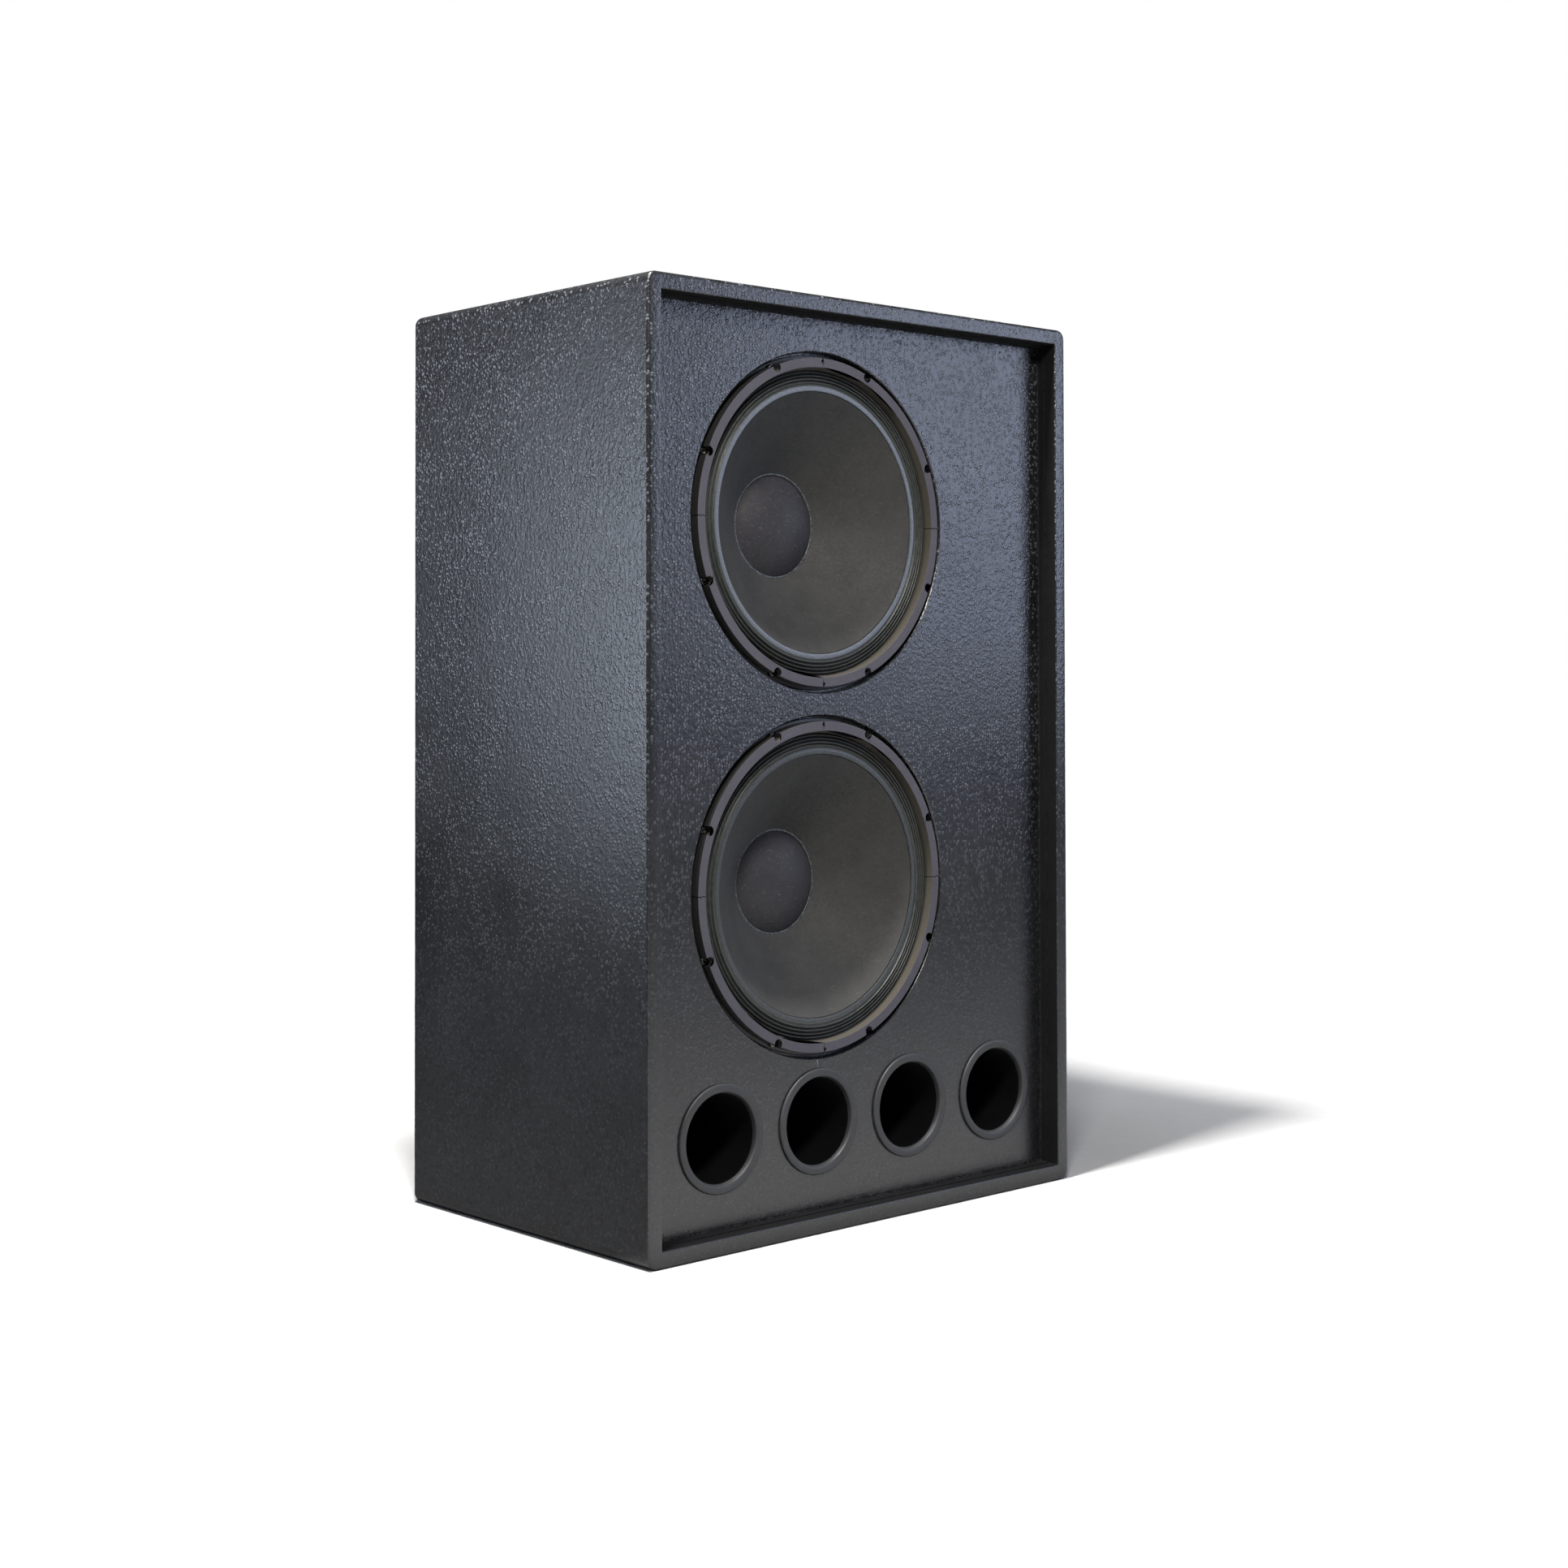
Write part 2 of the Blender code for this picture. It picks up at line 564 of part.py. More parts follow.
def make_voice_coil(name, parent, copper):
    top = cone_out(NECK_RADIUS) + CONE_THICKNESS
    profile = ring(COIL_RADIUS, COIL_RADIUS - COIL_THICKNESS, top, top - COIL_LENGTH)
    add_object(name, turned(name, profile, HIDDEN_SEGMENTS), copper).parent = parent


def make_spider(name, parent, cloth):
    """The pleated disc that centres the coil."""
    inner, outer = NECK_RADIUS, SPIDER_RADIUS
    first, last = inner + SPIDER_LAP, RISER_RADIUS - SPIDER_THICKNESS
    line = [(outer, SPIDER_TOP), (last, SPIDER_TOP)]
    for i in range(1, SPIDER_WAVES):
        swing = SPIDER_SWING if i % 2 else -SPIDER_SWING
        line.append((last + (first - last) * i / SPIDER_WAVES, SPIDER_TOP + swing))
    line += [(first, SPIDER_TOP), (inner, SPIDER_TOP)]
    mesh = turned(name, sheet_profile(line, SPIDER_THICKNESS), HIDDEN_SEGMENTS)
    add_object(name, mesh, cloth).parent = parent


def make_magnet(prefix, place, steel, ferrite):
    """Top plate, ring magnet, and the yoke with its pole inside the coil."""
    plate_top = PLATE_TOP - FRAME_PLATE - CONTACT_GAP
    bore = COIL_RADIUS + COIL_CLEARANCE
    pieces = {
        "top_plate": (
            ring(PLATE_RADIUS, bore, plate_top, plate_top - TOP_PLATE_THICKNESS), steel
        ),
        "magnet": (
            ring(MAGNET_RADIUS, COIL_RADIUS + MAGNET_BORE_CLEARANCE, MAGNET_TOP,
                 MAGNET_TOP - MAGNET_THICKNESS),
            ferrite,
        ),
        "yoke": (
            [(POLE_RADIUS, plate_top), (POLE_RADIUS, YOKE_TOP), (PLATE_RADIUS, YOKE_TOP),
             (PLATE_RADIUS, YOKE_TOP - YOKE_THICKNESS), (VENT_RADIUS, YOKE_TOP - YOKE_THICKNESS),
             (VENT_RADIUS, plate_top)],
            steel,
        ),
    }
    for piece, (profile, material) in pieces.items():
        name = f"{prefix}_{piece}"
        add_object(name, turned(name, profile, HIDDEN_SEGMENTS), material, place)


def terminal_box():
    """Low and high corners of a driver's terminal strip, from the driver's own place."""
    inner = RISER_RADIUS + FRAME_PLATE + 2 * CONTACT_GAP
    middle = -(LEDGE_OUT + PLATE_TOP) / 2
    low = (inner, middle - STRIP_HEIGHT / 2, -STRIP_LENGTH / 2)
    return low, (inner + STRIP_DEPTH, middle + STRIP_HEIGHT / 2, STRIP_LENGTH / 2)


def make_terminal_strip(name, place, plastic):
    low, high = terminal_box()
    add_object(name, box_mesh(name, low, high), plastic, place)


def make_driver(prefix, height, finish):
    place = (DRIVER_X, BAFFLE_Y, height)
    make_basket(prefix + "_basket", place, finish["frame_paint"])
    make_gasket(prefix + "_gasket", place, finish["gasket_fibre"])
    make_bolts(prefix, place, finish["black_steel"])
    make_magnet(prefix, place, finish["plated_steel"], finish["ferrite"])
    make_terminal_strip(prefix + "_terminal_strip", place, finish["socket_plastic"])
    # The pieces that travel hang on an empty on the driver's axis.
    axis = bpy.data.objects.new(prefix + "_cone_axis", None)
    bpy.context.scene.collection.objects.link(axis)
    axis.location = place
    make_surround(prefix + "_surround", axis, finish["surround_cloth"])
    make_cone(prefix + "_cone", axis, finish["cone_paper"])
    make_dust_cap(prefix + "_dust_cap", axis, finish["cap_felt"])
    make_voice_coil(prefix + "_voice_coil", axis, finish["coil_copper"])
    make_spider(prefix + "_spider", axis, finish["spider_cloth"])


def make_ports(plastic):
    """Four tubes with a rounded flange against the baffle."""
    outer = PORT_BORE + PORT_WALL
    edge, top = outer + PORT_FLANGE_WIDTH, PORT_FLANGE_HEIGHT
    profile = [
        (outer, -PORT_LENGTH), (outer, CONTACT_GAP), (edge, CONTACT_GAP),
        (edge, top - PORT_FLANGE_EDGE), (edge - PORT_FLANGE_EDGE, top),
        (outer + PORT_THROAT, top), (PORT_BORE + PORT_THROAT / 2, top - PORT_THROAT),
        (PORT_BORE, -top), (PORT_BORE, -PORT_LENGTH),
    ]
    for i, x in enumerate(port_places()):
        name = f"port_tube_{i + 1}"
        mesh = turned(name, profile[::-1], HIDDEN_SEGMENTS)
        add_object(name, mesh, plastic, (x, BAFFLE_Y, PORT_HEIGHT))


def socket_places():
    return {"left_socket": INPUT_X - SOCKET_PITCH / 2, "right_socket": INPUT_X + SOCKET_PITCH / 2}


def make_input(steel, plastic):
    """The connector plate on the back, with its two sockets facing out of the back."""
    name = "input_plate"
    near = BACK_Y + CONTACT_GAP
    outline = rounded_rectangle((INPUT_X, INPUT_HEIGHT), INPUT_WIDTH, INPUT_TALL, INPUT_LAP / 2)
    plate = add_object(name, extruded(name, outline, near, near + INPUT_THICKNESS), steel)
    body = SOCKET_BORE + SOCKET_WALL
    hole_radius = body + CONTACT_GAP
    hole = turned(
        "socket_hole", [(0, WALL), (hole_radius, WALL), (hole_radius, -WALL), (0, -WALL)],
        2 * SMALL_SEGMENTS,
    )
    holes = [(hole, (x, near, INPUT_HEIGHT)) for x in socket_places().values()]
    cut(plate, "socket_holes", joined("socket_holes", holes))
    flange = near + INPUT_THICKNESS + CONTACT_GAP
    profile = [
        (0, SOCKET_WALL - SOCKET_DEPTH), (SOCKET_BORE, SOCKET_WALL - SOCKET_DEPTH),
        (SOCKET_BORE, SOCKET_FLANGE), (body + SOCKET_FLANGE_WIDTH, SOCKET_FLANGE),
        (body + SOCKET_FLANGE_WIDTH, 0), (body, 0), (body, -SOCKET_DEPTH), (0, -SOCKET_DEPTH),
    ]
    for socket, x in socket_places().items():
        mesh = turned(socket, profile, 2 * SMALL_SEGMENTS)
        obj = add_object(socket, mesh, plastic, (x, flange, INPUT_HEIGHT))
        obj.rotation_euler = (0, 0, math.pi)


def smooth_route(points, spacing):
    """Evenly read points on a Catmull-Rom curve through the given ones."""
    guide = [points[0], *points, points[-1]]
    dense, steps = [], 16
    for a, b, c, d in zip(guide, guide[1:], guide[2:], guide[3:]):
        for t in (step / steps for step in range(steps)):
            dense.append(tuple(
                0.5 * (2 * q + (r - p) * t + (2 * p - 5 * q + 4 * r - s) * t**2
                       + (3 * q - p - 3 * r + s) * t**3)
                for p, q, r, s in zip(a, b, c, d)
            ))
    dense.append(points[-1])
    lengths = [math.dist(a, b) for a, b in zip(dense, dense[1:])]
    count = max(2, round(sum(lengths) / spacing))
    wanted, travelled, result = sum(lengths) / count, 0.0, [dense[0]]
    for point, length in zip(dense[1:], lengths):
        travelled += length
        if travelled >= wanted - 1e-9 and len(result) < count:
            result.append(point)
            travelled -= wanted
    return [*result, dense[-1]]


def make_leads(sheath):
    """Two leads inside the box, each from the back of a socket to a driver's terminal strip."""
    start_y = BACK_Y + INPUT_THICKNESS + 2 * CONTACT_GAP - SOCKET_DEPTH - CONTACT_GAP
    end_x = DRIVER_X + terminal_box()[1][0] + CONTACT_GAP
    end_y = BAFFLE_Y - (LEDGE_OUT + PLATE_TOP) / 2
    sockets = socket_places()
    low, high = DRIVER_HEIGHTS["lower"], DRIVER_HEIGHTS["upper"]
    routes = {
        "lower_lead": [
            (sockets["left_socket"], start_y, INPUT_HEIGHT), (0.098, 0.165, 0.241),
            (0.101, 0.130, 0.262), (0.108, 0.080, 0.305), (0.114, 0.020, 0.345),
            (0.112, -0.040, 0.370), (0.092, -0.078, 0.381), (0.062, end_y, low),
            (end_x, end_y, low),
        ],
        "upper_lead": [
            (sockets["right_socket"], start_y, INPUT_HEIGHT), (0.142, 0.165, 0.242),
            (0.150, 0.130, 0.275), (0.168, 0.092, 0.360), (0.180, 0.072, 0.470),
            (0.182, 0.064, BRACE_MIDDLE), (0.176, 0.040, 0.680), (0.150, -0.010, 0.745),
            (0.118, -0.055, 0.783), (0.085, -0.081, 0.795), (0.060, end_y, high),
            (end_x, end_y, high),
        ],
    }
    for name, points in routes.items():
        curve = bpy.data.curves.new(name, "CURVE")
        curve.dimensions = "3D"
        curve.bevel_depth = LEAD_DIAMETER / 2
        curve.bevel_resolution = 2
        curve.use_fill_caps = True
        route = smooth_route(points, 3 * LEAD_DIAMETER)
        spline = curve.splines.new("POLY")
        spline.points.add(len(route) - 1)
        for point, place in zip(spline.points, route):
            point.co = (*place, 1)
        add_object(name, curve, sheath)


def make_wadding(fleece):
    """Two pads of damping wadding on the back panel, above and below the brace."""
    far = BACK_INNER_Y - CONTACT_GAP
    brace_gap = BRACE_THICKNESS / 2 + WADDING_MARGIN
    heights = {
        "upper_wadding": (BRACE_MIDDLE + brace_gap, BOX_HEIGHT - WALL - WADDING_MARGIN),
        "lower_wadding": (INPUT_HEIGHT + INPUT_TALL, BRACE_MIDDLE - brace_gap),
    }
    for name, (low, high) in heights.items():
        corner = (-WADDING_WIDTH / 2, far - WADDING_THICKNESS, low)
        mesh = box_mesh(name, corner, (WADDING_WIDTH / 2, far, high))
        add_object(name, mesh, fleece)


def main():
    clear_scene()
    finish = {
        "box_coating": make_material("box_coating", (0.035, 0.037, 0.045), 0.55),
        "plywood": make_material("plywood", (0.52, 0.38, 0.23), 0.7),
        "frame_paint": make_material("frame_paint", (0.02, 0.02, 0.021), 0.45),
        "gasket_fibre": make_material("gasket_fibre", (0.075, 0.068, 0.082), 0.85),
        "surround_cloth": make_material("surround_cloth", (0.03, 0.033, 0.03), 0.4),
        "cone_paper": make_material("cone_paper", (0.045, 0.046, 0.045), 0.8),
        "cap_felt": make_material("cap_felt", (0.03, 0.028, 0.034), 0.9),
        "coil_copper": make_material("coil_copper", (0.72, 0.35, 0.18), 0.35, 1.0),
        "spider_cloth": make_material("spider_cloth", (0.55, 0.36, 0.12), 0.85),
        "plated_steel": make_material("plated_steel", (0.55, 0.53, 0.45), 0.35, 1.0),
        "ferrite": make_material("ferrite", (0.03, 0.03, 0.032), 0.6),
        "black_steel": make_material("black_steel", (0.02, 0.02, 0.02), 0.35, 1.0),
        "port_plastic": make_material("port_plastic", (0.04, 0.041, 0.044), 0.45),
        "socket_plastic": make_material("socket_plastic", (0.015, 0.015, 0.016), 0.4),
        "lead_sheath": make_material("lead_sheath", (0.02, 0.02, 0.02), 0.5),
        "wadding_fleece": make_material("wadding_fleece", (0.7, 0.7, 0.68), 0.95),
    }
    make_walls(finish["box_coating"])
    make_baffle(finish["box_coating"])
    make_back(finish["box_coating"])
    make_battens(finish["plywood"])
    make_brace(finish["plywood"])
    for prefix, height in DRIVER_HEIGHTS.items():
        make_driver(prefix, height, finish)
    make_ports(finish["port_plastic"])
    make_input(finish["black_steel"], finish["socket_plastic"])
    make_leads(finish["lead_sheath"])
    make_wadding(finish["wadding_fleece"])


main()
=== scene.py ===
import json
import math

import bmesh
import bpy
from mathutils import Matrix, Vector, noise
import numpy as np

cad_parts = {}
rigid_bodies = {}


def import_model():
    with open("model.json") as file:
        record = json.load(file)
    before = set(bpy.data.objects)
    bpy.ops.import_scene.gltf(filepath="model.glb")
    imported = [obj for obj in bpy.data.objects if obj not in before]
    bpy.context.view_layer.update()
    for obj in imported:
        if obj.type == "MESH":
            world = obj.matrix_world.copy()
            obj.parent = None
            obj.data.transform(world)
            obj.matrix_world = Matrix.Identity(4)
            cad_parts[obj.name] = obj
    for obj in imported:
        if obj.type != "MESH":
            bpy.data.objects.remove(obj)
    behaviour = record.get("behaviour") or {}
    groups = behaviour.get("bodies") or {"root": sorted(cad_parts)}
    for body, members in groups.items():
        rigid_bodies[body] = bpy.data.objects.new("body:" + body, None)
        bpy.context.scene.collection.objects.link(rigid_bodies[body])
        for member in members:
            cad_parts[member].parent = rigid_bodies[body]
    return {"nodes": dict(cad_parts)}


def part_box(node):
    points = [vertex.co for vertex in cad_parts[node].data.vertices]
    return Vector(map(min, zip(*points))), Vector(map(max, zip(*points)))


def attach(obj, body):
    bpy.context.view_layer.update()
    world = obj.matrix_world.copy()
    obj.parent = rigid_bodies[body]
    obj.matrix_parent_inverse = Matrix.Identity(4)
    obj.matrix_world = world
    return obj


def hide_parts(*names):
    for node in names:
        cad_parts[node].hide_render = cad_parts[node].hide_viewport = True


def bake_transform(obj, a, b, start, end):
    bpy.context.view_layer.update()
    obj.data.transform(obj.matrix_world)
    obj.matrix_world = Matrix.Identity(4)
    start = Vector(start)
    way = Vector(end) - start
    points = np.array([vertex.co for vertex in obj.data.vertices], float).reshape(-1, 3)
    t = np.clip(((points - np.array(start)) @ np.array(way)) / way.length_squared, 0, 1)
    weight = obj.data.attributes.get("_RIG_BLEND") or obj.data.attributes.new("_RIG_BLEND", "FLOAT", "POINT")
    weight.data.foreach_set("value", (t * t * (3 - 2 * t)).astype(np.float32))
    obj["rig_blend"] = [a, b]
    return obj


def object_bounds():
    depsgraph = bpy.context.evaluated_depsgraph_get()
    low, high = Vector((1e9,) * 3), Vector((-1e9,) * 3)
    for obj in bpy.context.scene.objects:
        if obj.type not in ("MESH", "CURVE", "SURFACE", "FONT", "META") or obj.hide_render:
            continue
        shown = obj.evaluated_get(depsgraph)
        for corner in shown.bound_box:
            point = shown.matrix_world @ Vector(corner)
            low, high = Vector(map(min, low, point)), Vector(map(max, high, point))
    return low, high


for leftover in list(bpy.data.objects):  # the startup cube, light and camera
    bpy.data.objects.remove(leftover, do_unlink=True)
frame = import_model()
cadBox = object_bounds()
print("frame loaded,", len(frame["nodes"]), "nodes")

mm = 0.001
drivers = ("upper", "lower")


# Places and radii, all read from the frame

def spanOf(node):
    low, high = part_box(node)
    return low, high, (low + high) / 2


def radiusOf(node):
    low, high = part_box(node)
    return (high.x - low.x) / 2


boxLow, boxHigh = cadBox
boardLow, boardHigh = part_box("front_baffle")
backLow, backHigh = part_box("back_panel")
faceY = boardLow.y  # the front board's face
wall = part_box("bottom_panel")[1].z
gap = boardLow.z - wall  # what touching pieces leave between them


def driverPlace(prefix):
    centre = spanOf(prefix + "_basket")[2]
    return Vector((centre.x, faceY, centre.z))


def outOf(y):  # how far a depth stands out from the front board's face
    return faceY - y


# Camera, first because everything is judged through it

view = {
    "place": (-1.86522, -2.10787, 0.62488),
    "turn": 42.417,  # degrees from +Y towards +X
    "tilt": 1.140,
    "lean": -0.121,
    "lens": 53.19,
    "sensor": 36,
    "drop": -0.1002,  # lens shift that keeps upright edges upright
}


def addCamera():
    data = bpy.data.cameras.new("studioCamera")
    data.lens = view["lens"]
    data.sensor_width = view["sensor"]
    data.shift_y = view["drop"]
    data.clip_end = 100
    camera = bpy.data.objects.new("studioCamera", data)
    bpy.context.scene.collection.objects.link(camera)
    turn, tilt, lean = (math.radians(view[key]) for key in ("turn", "tilt", "lean"))
    ahead = Vector((math.sin(turn) * math.cos(tilt), math.cos(turn) * math.cos(tilt), math.sin(tilt)))
    level = Vector((math.cos(turn), -math.sin(turn), 0))
    upright = level.cross(ahead)
    right = level * math.cos(lean) + upright * math.sin(lean)
    up = upright * math.cos(lean) - level * math.sin(lean)
    facing = Matrix((right, up, -ahead)).transposed().to_4x4()
    camera.matrix_world = Matrix.Translation(view["place"]) @ facing
    bpy.context.scene.camera = camera


addCamera()
print("camera set")


# Node helpers

def fill(node, **values):  # sets inputs by name, with _ for a space
    for key, value in values.items():
        node.inputs[key.replace("_", " ")].default_value = value
    return node


def mathNode(tree, operation, a, b=None, clamp=False):
    node = tree.nodes.new("ShaderNodeMath")
    node.operation = operation
    node.use_clamp = clamp
    for socket, value in zip(node.inputs, (a, b)):
        if value is None:
            continue
        if isinstance(value, (int, float)):
            socket.default_value = value
        else:
            tree.links.new(value, socket)
    return node.outputs[0]


def rangeNode(tree, value, low, high, toLow=0.0, toHigh=1.0):
    node = tree.nodes.new("ShaderNodeMapRange")
    node.clamp = True
    for key, number in (("From Min", low), ("From Max", high), ("To Min", toLow), ("To Max", toHigh)):
        node.inputs[key].default_value = number
    tree.links.new(value, node.inputs["Value"])
    return node.outputs["Result"]


def mixColour(tree, share, a, b, blend="MIX"):
    node = tree.nodes.new("ShaderNodeMix")
    node.data_type = "RGBA"
    node.blend_type = blend
    for socket, value in ((node.inputs["Factor"], share), (node.inputs[6], a), (node.inputs[7], b)):
        if isinstance(value, bpy.types.NodeSocket):
            tree.links.new(value, socket)
        elif isinstance(value, (int, float)):
            socket.default_value = value
        else:
            socket.default_value = (*value, 1)
    return node.outputs[2]


def newGroup(name, inputs, outputs):
    # inputs are (name, kind, value), outputs are (name, kind)
    tree = bpy.data.node_groups.new(name, "ShaderNodeTree")
    for label, kind, value in inputs:
        socket = tree.interface.new_socket(name=label, in_out="INPUT", socket_type="NodeSocket" + kind)
        if value is not None:
            socket.default_value = value
    for label, kind in outputs:
        tree.interface.new_socket(name=label, in_out="OUTPUT", socket_type="NodeSocket" + kind)
    return tree, tree.nodes.new("NodeGroupInput").outputs, tree.nodes.new("NodeGroupOutput").inputs


def noiseNode(tree, vector, scale, detail=2.0, roughness=0.5, distortion=0.0):
    node = tree.nodes.new("ShaderNodeTexNoise")
    tree.links.new(vector, node.inputs["Vector"])
    if isinstance(scale, (int, float)):
        node.inputs["Scale"].default_value = scale
    else:
        tree.links.new(scale, node.inputs["Scale"])
    fill(node, Detail=detail, Roughness=roughness, Distortion=distortion)
    return node.outputs["Fac"]


# Effects shared by several finishes

def makeStipple():
    # sprayed coating: a rolling skin, with round drops standing on it in loose crowds
    tree, given, made = newGroup(
        "sprayedStipple", [("Vector", "Vector", None), ("Scale", "Float", 300.0), ("Drops", "Float", 0.5)],
        [("Height", "Float"), ("Patches", "Float"), ("Drop", "Float")],
    )
    cells = tree.nodes.new("ShaderNodeTexVoronoi")
    cells.feature = "F1"
    tree.links.new(given["Vector"], cells.inputs["Vector"])
    tree.links.new(given["Scale"], cells.inputs["Scale"])
    dome = rangeNode(tree, cells.outputs["Distance"], 0.08, 0.52, 1.0, 0.0)
    dome = mathNode(tree, "SQRT", dome)
    parts = tree.nodes.new("ShaderNodeSeparateColor")
    tree.links.new(cells.outputs["Color"], parts.inputs["Color"])
    crowd = noiseNode(tree, given["Vector"], mathNode(tree, "MULTIPLY", given["Scale"], 0.07), 3.0)
    chance = mathNode(tree, "ADD", parts.outputs["Red"], mathNode(tree, "SUBTRACT", crowd, 0.5))
    present = rangeNode(tree, mathNode(tree, "ADD", chance, given["Drops"]), 0.95, 1.15)
    drop = mathNode(tree, "MULTIPLY", dome, present)
    skin = noiseNode(tree, given["Vector"], mathNode(tree, "MULTIPLY", given["Scale"], 0.8), 3.0, 0.6)
    tree.links.new(
        mathNode(tree, "ADD", mathNode(tree, "MULTIPLY", drop, 0.55), mathNode(tree, "MULTIPLY", skin, 0.9)),
        made["Height"],
    )
    tree.links.new(noiseNode(tree, given["Vector"], 5.5, 3.0, 0.6), made["Patches"])
    tree.links.new(drop, made["Drop"])
    return tree


def makeEdgeWear():
    # rubbed corners: where the bevelled normal leaves the true one, broken up by noise
    tree, given, made = newGroup(
        "rubbedEdges", [("Vector", "Vector", None), ("Width", "Float", 0.002), ("Breakup", "Float", 120.0)],
        [("Mask", "Float")],
    )
    bevel = tree.nodes.new("ShaderNodeBevel")
    bevel.samples = 4
    tree.links.new(given["Width"], bevel.inputs["Radius"])
    true = tree.nodes.new("ShaderNodeNewGeometry")
    dot = tree.nodes.new("ShaderNodeVectorMath")
    dot.operation = "DOT_PRODUCT"
    tree.links.new(bevel.outputs["Normal"], dot.inputs[0])
    tree.links.new(true.outputs["Normal"], dot.inputs[1])
    edge = rangeNode(tree, dot.outputs["Value"], 0.98, 0.80)
    patchy = rangeNode(tree, noiseNode(tree, given["Vector"], given["Breakup"], 4.0, 0.6), 0.42, 0.62)
    tree.links.new(mathNode(tree, "MULTIPLY", edge, patchy), made["Mask"])
    return tree


def makeScuffs():
    # light scratches and rubs, long one way and thin the other, in a few patches only
    tree, given, made = newGroup(
        "handlingMarks", [("Vector", "Vector", None), ("Amount", "Float", 0.5)], [("Mask", "Float")]
    )
    stretch = tree.nodes.new("ShaderNodeMapping")
    stretch.inputs["Rotation"].default_value = (0.0, 0.45, 0.3)
    stretch.inputs["Scale"].default_value = (0.16, 1.0, 1.0)
    tree.links.new(given["Vector"], stretch.inputs["Vector"])
    lines = noiseNode(tree, stretch.outputs["Vector"], 260.0, 2.0, 0.5)
    thin = rangeNode(tree, lines, 0.66, 0.74)
    where = rangeNode(tree, noiseNode(tree, given["Vector"], 9.0, 2.0), 0.56, 0.70)
    marks = mathNode(tree, "MULTIPLY", thin, where)
    tree.links.new(mathNode(tree, "MULTIPLY", marks, given["Amount"], clamp=True), made["Mask"])
    return tree


def makeFibres():
    # pressed pulp or felt: matted short fibres, pale flecks and soft clouds
    tree, given, made = newGroup(
        "mattedFibres", [("Vector", "Vector", None), ("Scale", "Float", 900.0)],
        [("Height", "Float"), ("Flecks", "Float"), ("Clouds", "Float")],
    )
    base = noiseNode(tree, given["Vector"], given["Scale"], 4.0, 0.65, 0.6)
    turned = tree.nodes.new("ShaderNodeMapping")
    turned.inputs["Rotation"].default_value = (0.7, 0.2, 1.1)
    turned.inputs["Scale"].default_value = (0.35, 1.0, 1.0)
    tree.links.new(given["Vector"], turned.inputs["Vector"])
    strands = noiseNode(
        tree, turned.outputs["Vector"], mathNode(tree, "MULTIPLY", given["Scale"], 0.9), 2.0, 0.5, 1.5
    )
    tree.links.new(mathNode(tree, "ADD", mathNode(tree, "MULTIPLY", strands, 0.5), base), made["Height"])
    tree.links.new(rangeNode(tree, strands, 0.60, 0.72), made["Flecks"])
    tree.links.new(noiseNode(tree, given["Vector"], 22.0, 4.0, 0.6), made["Clouds"])
    return tree


def makePolar():
    # coordinates round a driver's axis: turns round it, distance from it, and depth
    tree, given, made = newGroup(
        "roundTheAxis", [("Vector", "Vector", None), ("Centre", "Vector", None)],
        [("Radius", "Float"), ("Turn", "Float"), ("Polar", "Vector")],
    )
    shift = tree.nodes.new("ShaderNodeVectorMath")
    shift.operation = "SUBTRACT"
    tree.links.new(given["Vector"], shift.inputs[0])
    tree.links.new(given["Centre"], shift.inputs[1])
    parts = tree.nodes.new("ShaderNodeSeparateXYZ")
    tree.links.new(shift.outputs["Vector"], parts.inputs["Vector"])
    x, y, z = parts.outputs
    squares = mathNode(tree, "ADD", mathNode(tree, "MULTIPLY", x, x), mathNode(tree, "MULTIPLY", z, z))
    radius = mathNode(tree, "SQRT", squares)
    turn = mathNode(tree, "ARCTAN2", z, x)
    polar = tree.nodes.new("ShaderNodeCombineXYZ")
    tree.links.new(turn, polar.inputs[0])
    tree.links.new(radius, polar.inputs[1])
    tree.links.new(y, polar.inputs[2])
    tree.links.new(radius, made["Radius"])
    tree.links.new(turn, made["Turn"])
    tree.links.new(polar.outputs["Vector"], made["Polar"])
    return tree


groups = {
    "stipple": makeStipple(),
    "edges": makeEdgeWear(),
    "scuffs": makeScuffs(),
    "fibres": makeFibres(),
    "polar": makePolar(),
}
print("shared effects built:", ", ".join(groups))


# Finishes

def startFinish(name, roughness, metallic=0.0, **constants):
    # returns the tree, its shader and the surface coordinates
    material = bpy.data.materials.new(name)
    material.use_nodes = True
    tree = material.node_tree
    shader = tree.nodes["Principled BSDF"]
    shader.inputs["Roughness"].default_value = roughness
    shader.inputs["Metallic"].default_value = metallic
    fill(shader, **constants)
    place = tree.nodes.new("ShaderNodeTexCoord").outputs["Object"]
    return material, tree, shader, place


def useGroup(tree, key, place, **values):
    node = tree.nodes.new("ShaderNodeGroup")
    node.node_tree = groups[key]
    tree.links.new(place, node.inputs["Vector"])
    fill(node, **values)
    return node.outputs


def roughen(tree, shader, layers):
    # chains Bump nodes: each layer is (height socket, strength, distance)
    last = None
    for height, strength, distance in layers:
        bump = tree.nodes.new("ShaderNodeBump")
        fill(bump, Strength=strength, Distance=distance)
        tree.links.new(height, bump.inputs["Height"])
        if last is not None:
            tree.links.new(last, bump.inputs["Normal"])
        last = bump.outputs["Normal"]
    tree.links.new(last, shader.inputs["Normal"])


coat = {
    "colour": (0.0120, 0.0124, 0.0142),
    # painted shade for the pits between the drops
    "pitShade": (0.003, 0.003, 0.0035),
    "crest": (0.140, 0.149, 0.178),  # painted highlight: the pale glint colour of the drop tops
    "rubbed": (0.060, 0.060, 0.062),
    "scratch": (0.16, 0.16, 0.165),
    "drops": 250.0,  # per metre
    "height": 1.5 * mm,
}


